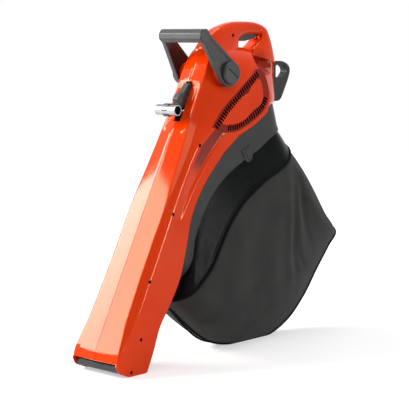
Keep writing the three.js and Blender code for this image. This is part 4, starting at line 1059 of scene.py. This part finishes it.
def makeStrapLoop(d):
    outline, inside = ([(d["foot"] + reach, z) for reach, z in d[k]] for k in ("outline", "hole"))
    loop = plate("strapLoop", softened(outline, d["turn"]), -d["half"], d["half"], d["edge"], 4, 50)
    cutBy(loop, cutterFrom(lambda bm: prismX(bm, softened(inside, d["holeTurn"]), -30, 30)))
    rim = newMesh()
    rim.from_mesh(loop.data)
    bmesh.ops.remove_doubles(rim, verts=rim.verts, dist=1e-5)
    bevelSharp(rim, d["holeEdge"], 3, 60)
    rim.to_mesh(loop.data)
    rim.free()
    markSharp(loop)
    finishPiece(loop, ductPlastic, "root", "handle", "strap_loop")


makeTrigger(trigger)
makeGland(gland)
makeStrapLoop(strap)


def makeScrews(d):  # pan heads with a cross recess
    r = d["headRadius"]
    for name, (y, z, face) in d["places"].items():
        foot, top = face - d["depth"] + 0.3, face - 0.6
        bm = newMesh()
        line = [(0, foot - 8), (2, foot - 8), (2, foot), (r, foot), (r, top - 0.8), (r - 0.9, top - 0.1),
                (0, top)]
        spinProfile(bm, line, 28, onX(y, z))
        faceOut(bm)
        head = toObject(bm, name.title().replace("_", "").replace("Screw", "screw", 1))
        for u, v in ((2.6, 0.5), (0.5, 2.6)):
            corners = mm(top - 1.3, y - u, z - v), mm(top + 3, y + u, z + v)
            cutBy(head, cutterFrom(lambda bm: addBox(bm, *corners)))
        markSharp(head)
        finishPiece(head, screwSteel, "root", "screws", name)


makeScrews(screws)
print("small pieces done")

# collar, bag frame, binding and bag: their loops run from the middle of the rear over the right
# side to the middle of the foot, and a point is (share of the half width, y, z)
loops = {"collarHalf": 75.4, "rimHalf": 90, "bagHalf": 104,
         "seat": [(0, backY - 6, 708), (0.55, 624, 708), (0.9, 588, 702), (1, 552, 690), (1, 498, 662),
                  (1, 436, 626), (1, 366, 572), (1, 300, 500), (1, 246, 414), (1, 218, 330),
                  (0.97, 198, 262), (0.6, 182, 232), (0, 178, 224)],
         "edge": [(0, 690, 618), (0.55, 652, 618), (0.9, 616, 614), (1, 576, 598), (1, 524, 568),
                  (1, 462, 541), (1, 392, 505), (1, 334, 457), (1, 290, 398), (1, 262, 340),
                  (0.97, 246, 270), (0.6, 219, 224), (0, 213, 214)],
         "rim": [(0, 724, 572), (0.55, 694, 556), (0.9, 654, 530), (1, 604, 507), (1, 536, 479),
                 (1, 454, 431), (1, 395, 376), (1, 350, 312), (1, 316, 258), (1, 270, 216),
                 (0.97, 230, 190), (0.62, 206, 174), (0, 204, 168)],
         "keel": [(0, 738, 552), (0.1, 794, 468), (0.1, 858, 394), (0.1, 926, 321), (0.1, 974, 279),
                  (0.1, 938, 238), (0.12, 874, 170), (0.14, 812, 100), (0.16, 730, 36), (0.18, 624, 0),
                  (0.18, 500, 0), (0.13, 366, 32), (0, 226, 148)]}


def loopLine(name, half, perSpan):  # smooth half loop in drawing millimetres
    points = catmull([(f * half, y, z) for f, y, z in loops[name]], perSpan)
    points[0].x = points[-1].x = 0
    for p in points:
        p.x, p.z = max(p.x, 0), max(p.z, 0)
    return points


def drawnIn(points, by):  # the same loop, drawn in by a wall thickness
    half = max(p.x for p in points)
    middle = sum(points, Vector((0, 0, 0))) / len(points)
    out = []
    for p in points:
        side = min(p.x / half, 1)
        inwards = Vector((0, middle.y - p.y, middle.z - p.z)).normalized()
        q = p + inwards * by * math.sqrt(1 - side ** 2)
        q.x = max(q.x - by * side, 0)
        out.append(q)
    return out


def runAt(points, i):
    if i in (0, len(points) - 1):
        return Vector((1, 0, 0))
    return (points[i + 1] - points[i - 1]).normalized()


def towards(points, others, distance):  # moved towards another loop, square to their own run
    out = []
    for i, (p, q) in enumerate(zip(points, others)):
        run = runAt(points, i)
        step = Vector((0, q.y - p.y, q.z - p.z))
        out.append(p + (step - run * step.dot(run)).normalized() * distance)
    return out


def blendLoops(a, b, share, out=0.0):  # loop between two others, pushed out by some millimetres
    mixed = [p.lerp(q, share) for p, q in zip(a, b)]
    return drawnIn(mixed, -out) if out else mixed


def shellBetween(bm, a, b, wall, profile):  # walled ring; the profile is (share, push outwards)
    outer = [blendLoops(a, b, t, push) for t, push in profile]
    inner = [drawnIn(blendLoops(a, b, t), wall) for t, push in reversed(profile)]
    loft(bm, [[mm(*p) for p in line] for line in outer + inner], ring=True)
    mirrorWhole(bm)
    faceOut(bm)


collar = {"wall": 3.5, "perSpan": 8, "bead": 1.5, "beadRise": (0.85, 0.1)}
bagFrame = {"wall": 3, "perSpan": 8, "hem": 4.6, "inset": -2.6, "lip": 1.2}


def clearOfHousing():
    return toObject(bodyForm(shell, -0.3, 64), "clear")


def makeCollar(d):
    seat, edge = (loopLine(name, loops["collarHalf"], d["perSpan"]) for name in ("seat", "edge"))
    bead = d["bead"]
    profile = [(share, 0) for share in (0, 0.15, 0.3, 0.45, 0.6, 0.72, 0.8)]
    profile += [d["beadRise"], (0.89, bead * 0.8), (0.93, bead), (0.985, bead), (1, bead * 0.6)]
    bm = newMesh()
    shellBetween(bm, seat, edge, d["wall"], profile)
    piece = toObject(bm, "outletCollar")
    cutBy(piece, clearOfHousing())
    for side in sideWords:
        cutBy(piece, latchTongue(side, latch), "UNION")
    markSharp(piece, 40)
    finishPiece(piece, ductPlastic, "root", "duct", "outlet_collar")


latch = {"from": (462, 541), "to": (524, 568), "reach": 12, "thick": 4, "mark": 1.6, "edge": 1.2}


def latchTongue(side, d):  # hooks over the bag frame, with a raised arrow on it
    start = Vector(d["from"])
    run = (Vector(d["to"]) - start).normalized()
    out = Vector((run.y, -run.x))
    foot = loops["collarHalf"] - 1
    face = foot + d["thick"]
    r = d["reach"]
    tongue, mark = (
        plate("latch", [start + run * u + out * v for u, v in corners], side * low, side * high,
              d["edge"], 3, 30)
        for low, high, corners in (
            (foot, face, [(2, -30), (42, -30), (38, r - 7), (31, r), (13, r), (6, r - 7)]),
            (face - 1, face + d["mark"], [(12, -24), (32, -24), (24, r - 4), (20, r - 4)])))
    cutBy(tongue, mark, "UNION")
    return tongue


def makeBagFrame(d):
    edge = loopLine("edge", loops["collarHalf"], d["perSpan"])
    rim = loopLine("rim", loops["rimHalf"], d["perSpan"])
    top, end = towards(edge, rim, 0.3), towards(rim, edge, d["hem"])
    inset, lip = d["inset"], d["lip"]
    profile = [(0, inset), (0.05, inset), (0.12, inset * 0.8)]
    profile += [(t, inset * 0.8 * (1 - t) ** 2) for t in (0.2, 0.3, 0.42, 0.55, 0.68, 0.8, 0.88)]
    profile += [(0.92, 0.5), (0.95, lip), (0.985, lip), (1, 0.4)]
    bm = newMesh()
    shellBetween(bm, top, end, d["wall"], profile)
    piece = toObject(bm, "bagFrame")
    cutBy(piece, clearOfHousing())
    markSharp(piece, 40)
    finishPiece(piece, framePlastic, "root", "dark_duct", "bag_frame")


def tubeAlong(bm, points, radius, sides, closed=False, pucker=0.0):  # round tube on a smooth route
    n = len(points)
    side = None
    rings = []
    for i, p in enumerate(points):
        ahead = points[(i + 1) % n] if closed or i < n - 1 else p
        back = points[i - 1] if closed or i > 0 else p
        run = (ahead - back).normalized()
        if side is None:
            side = run.orthogonal().normalized()
        side = (side - run * side.dot(run)).normalized()
        over = run.cross(side)
        r = radius * (1 + pucker * math.sin(i * 2.1))
        ring = [p + (side * math.cos(t) + over * math.sin(t)) * r
                for t in (2 * math.pi * k / sides for k in range(sides))]
        rings.append([mm(*q) for q in ring])
    rows = loft(bm, rings, closed=True, ring=closed)
    if not closed:
        for row in (rows[0], rows[-1]):
            bmesh.ops.edgeloop_fill(bm, edges=row)
    faceOut(bm)


def wholeLoop(half):  # right half and its mirror, once round
    left = [Vector((-p.x, p.y, p.z)) for p in reversed(half[1:-1])]
    return half + left


binding = {"radius": 5.4, "sides": 14, "perSpan": 16, "pucker": 0.02}


def makeBinding(d):
    rim = wholeLoop(loopLine("rim", loops["rimHalf"], d["perSpan"]))
    bm = newMesh()
    tubeAlong(bm, rim, d["radius"], d["sides"], True, d["pucker"])
    addPiece(bm, "bagBinding", bindingCloth, "root", "binding", "bag_binding")


makeCollar(collar)
makeBagFrame(bagFrame)
makeBinding(binding)
print("collar and frame done")

# each fold: its line over the side of the bag in (y, z), height (negative sinks in) and width
bag = {"perSpan": 14, "rows": 64, "wall": 1.2, "piping": 3.8, "gusset": 4, "underBinding": 4.9,
       "swell": [(0, 0), (0.3, 0.16), (0.6, 0.3), (0.86, 0.3), (1, 0)], "swellWide": 0.35, "fullness": 2.4,
       "foldFade": (0.12, 0.1), "foldEdge": 60,
       "folds": [
           ([(668, 500), (680, 380), (690, 260), (726, 170)], -6, 15),
           ([(652, 480), (660, 370), (668, 260), (690, 150)], 4.5, 20),
           ([(694, 480), (724, 370), (770, 290), (812, 246)], -6, 14),
           ([(690, 440), (704, 350), (728, 270), (752, 220)], 4, 14),
           ([(716, 470), (776, 380), (850, 320), (920, 288)], 5, 20),
           ([(716, 250), (742, 222), (775, 195)], -6, 10),
           ([(560, 440), (520, 330), (500, 200), (530, 90)], -3, 40),
           ([(480, 400), (420, 280), (400, 180), (430, 80)], 3, 40),
           ([(250, 170), (330, 150), (430, 120), (540, 100)], -2.5, 26),
           ([(620, 470), (600, 350), (590, 220), (620, 100)], 3, 34),
           ([(260, 130), (320, 96), (400, 66)], 3, 16)]}


def nearLine(p, line):  # distance to a line of points, and how far along it the nearest point is
    best, where = 1e9, 0.0
    for i, (a, b) in enumerate(zip(line, line[1:])):
        run = b - a
        t = min(max((p - a).dot(run) / run.length_squared, 0), 1)
        gap = (p - a - run * t).length
        if gap < best:
            best, where = gap, (i + t) / (len(line) - 1)
    return best, where


def foldHeight(y, z, lines):
    total = 0.0
    for line, height, width in lines:
        gap, where = nearLine(Vector((y, z)), line)
        if gap < width * 3:
            total += height * math.exp(-(gap / width) ** 2) * math.sin(math.pi * (0.08 + 0.84 * where)) ** 0.7
    return total


def bagRow(v, top, keel, swell, lines, d):  # the row at that share of the way down to the keel
    row = []
    for i, (p, f) in enumerate(zip(top, keel)):
        q = p.lerp(f, v)
        q.x += (p.x - f.x) * (v - v ** d["fullness"]) + swell(v) * p.x * d["swellWide"]
        if 0 < i < len(top) - 1:
            fromTop, fromKeel = d["foldFade"]
            hold = smoothStep(0, fromTop, v) * smoothStep(0, fromKeel, 1 - v)
            q.x += foldHeight(q.y, q.z, lines) * (hold * min(p.x / d["foldEdge"], 1))
        else:
            q.x = 0
        q.x, q.z = max(q.x, 0), max(q.z, 0)
        row.append(q)
    return row


def makeBagShell(keel, d):
    top = towards(loopLine("rim", loops["rimHalf"], d["perSpan"]), keel, d["underBinding"])
    lines = [([Vector(p) for p in splinePoints(line, 14)], h, w) for line, h, w in d["folds"]]
    swell = through(d["swell"])
    rows = [bagRow(k / d["rows"], top, keel, swell, lines, d) for k in range(d["rows"] + 1)]
    for k in range(1, d["gusset"] + 1):  # narrow gusset between the two piped seams
        rows.append([Vector((p.x * (1 - k / d["gusset"]), p.y, p.z)) for p in keel])
    bm = newMesh()
    loft(bm, [[mm(*p) for p in row] for row in rows])
    uv = bm.loops.layers.uv.new("UVMap")
    for face in bm.faces:
        for corner in face.loops:
            corner[uv].uv = (corner.vert.co.y, corner.vert.co.z)
    mirrorWhole(bm)
    faceOut(bm)
    piece = toObject(bm, "collectionBag", 60)
    thick = piece.modifiers.new("cloth thickness", "SOLIDIFY")
    thick.thickness = d["wall"] / 1000
    thick.offset = -1
    toMesh(piece)
    finishPiece(piece, bagCloth, "root", "bag", "collection_bag")


def makeBagPiping(keel, d):  # a strand along the keel's seam on each side
    pipes = newMesh()
    for side in sideWords:
        route = [Vector((side * p.x, p.y, max(p.z, d["piping"]))) for p in keel[2:-2]]
        strand = newMesh()
        tubeAlong(strand, route, d["piping"], 10)
        carrier = bpy.data.meshes.new("strand")
        strand.to_mesh(carrier)
        strand.free()
        pipes.from_mesh(carrier)
        bpy.data.meshes.remove(carrier)
    addPiece(pipes, "bagPiping", bindingCloth, "root", "binding")


keelLine = loopLine("keel", loops["bagHalf"], bag["perSpan"])
makeBagShell(keelLine, bag)
makeBagPiping(keelLine, bag)
print("bag done")


# pieces kept from the frame
def dressNodes():
    finishes = {"handle": handlePlastic, "duct": ductPlastic, "dark_duct": framePlastic,
                "black": blackPlasticAndShade, "lever": leverMetal, "deck": castDeck, "steel": turnedSteel,
                "core": laminatedCore, "screws": screwSteel, "bag": bagCloth,
                "binding": bindingCloth, "shell": shellPlastic}
    slots = {s["node"]: s["material_slot"] for s in frame["record"]["subparts"]}
    for name, obj in nodes.items():
        obj.data.materials.clear()
        obj.data.materials.append(finishes[slots[name]])


dressNodes()
print("frame pieces dressed")

# stage: the floor's own light grows with the distance from the object, and only what the camera or
# a reflection sees has it
stage = {"floor": 12.0, "floorColor": (0.6, 0.6, 0.6), "floorGloss": 0.1, "floorLift": (0.5, 1.0),
         "floorFade": (0.5, 1.9), "world": 0.3}


def seenRays(tree):  # 1 for what the camera, a reflection or a clear part sees
    path = tree.nodes.new("ShaderNodeLightPath")
    out = path.outputs["Is Camera Ray"]
    for other in ("Is Glossy Ray", "Is Transmission Ray"):
        either = tree.nodes.new("ShaderNodeMath")
        either.operation = "MAXIMUM"
        tree.links.new(out, either.inputs[0])
        tree.links.new(path.outputs[other], either.inputs[1])
        out = either.outputs[0]
    return out


def makeFloor(d):
    bm = newMesh()
    bmesh.ops.create_grid(bm, x_segments=1, y_segments=1, size=d["floor"] / 2)
    floor = toObject(bm, "floor")
    mat = newMaterial("pale floor", d["floorColor"], 0.9, Specular_IOR_Level=d["floorGloss"],
                      Emission_Color=(1, 1, 1, 1))
    away = addNode(mat, "VectorMath")
    away.operation = "LENGTH"
    join(mat, coords(mat), away.inputs[0])
    lift = spread(mat, away.outputs["Value"], *d["floorLift"], *d["floorFade"])
    lift = multiplied(mat, lift, seenRays(mat.node_tree))
    join(mat, lift, shaderOf(mat).inputs["Emission Strength"])
    floor.data.materials.append(mat)


def makeWorld(d):
    world = bpy.data.worlds.new("studio")
    bpy.context.scene.world = world
    world.use_nodes = True
    background = world.node_tree.nodes["Background"]
    background.inputs["Color"].default_value = (1, 1, 1, 1)
    level = addNode(world, "MapRange", To_Min=d["world"], To_Max=1.0)
    join(world, seenRays(world.node_tree), level.inputs["Value"])
    join(world, level.outputs["Result"], background.inputs["Strength"])


# each softbox: the way to it from the aim (azimuth from +X towards +Y, elevation), distance, size, power
softboxes = {"front": ((-141.5, 25.2), 2.6, (1.6, 1.3), 138),
             "neck": ((-136, 44), 2.6, (0.42, 0.42), 12),
             "strip": ((28, -1), 3.0, (0.32, 1.1), 31),
             "fill": ((-25, 42), 3.4, (1.2, 1.2), 22),
             "top": ((90, 80), 2.6, (1.6, 1.2), 34)}


def makeLights(boxes, aim):
    for name, ((azimuth, elevation), distance, size, power) in boxes.items():
        light = bpy.data.lights.new(name, "AREA")
        light.shape = "RECTANGLE"
        light.size, light.size_y = size
        light.energy = power
        obj = bpy.data.objects.new(name, light)
        a, e = math.radians(azimuth), math.radians(elevation)
        away = Vector((math.cos(a) * math.cos(e), math.sin(a) * math.cos(e), math.sin(e)))
        obj.location = aim + away * distance
        obj.rotation_euler = away.to_track_quat("Z", "Y").to_euler()
        bpy.context.scene.collection.objects.link(obj)


makeFloor(stage)
makeWorld(stage)
makeLights(softboxes, Vector((0, -0.2, 0.4)))
bpy.context.scene.view_settings.view_transform = "Standard"
print("stage set")
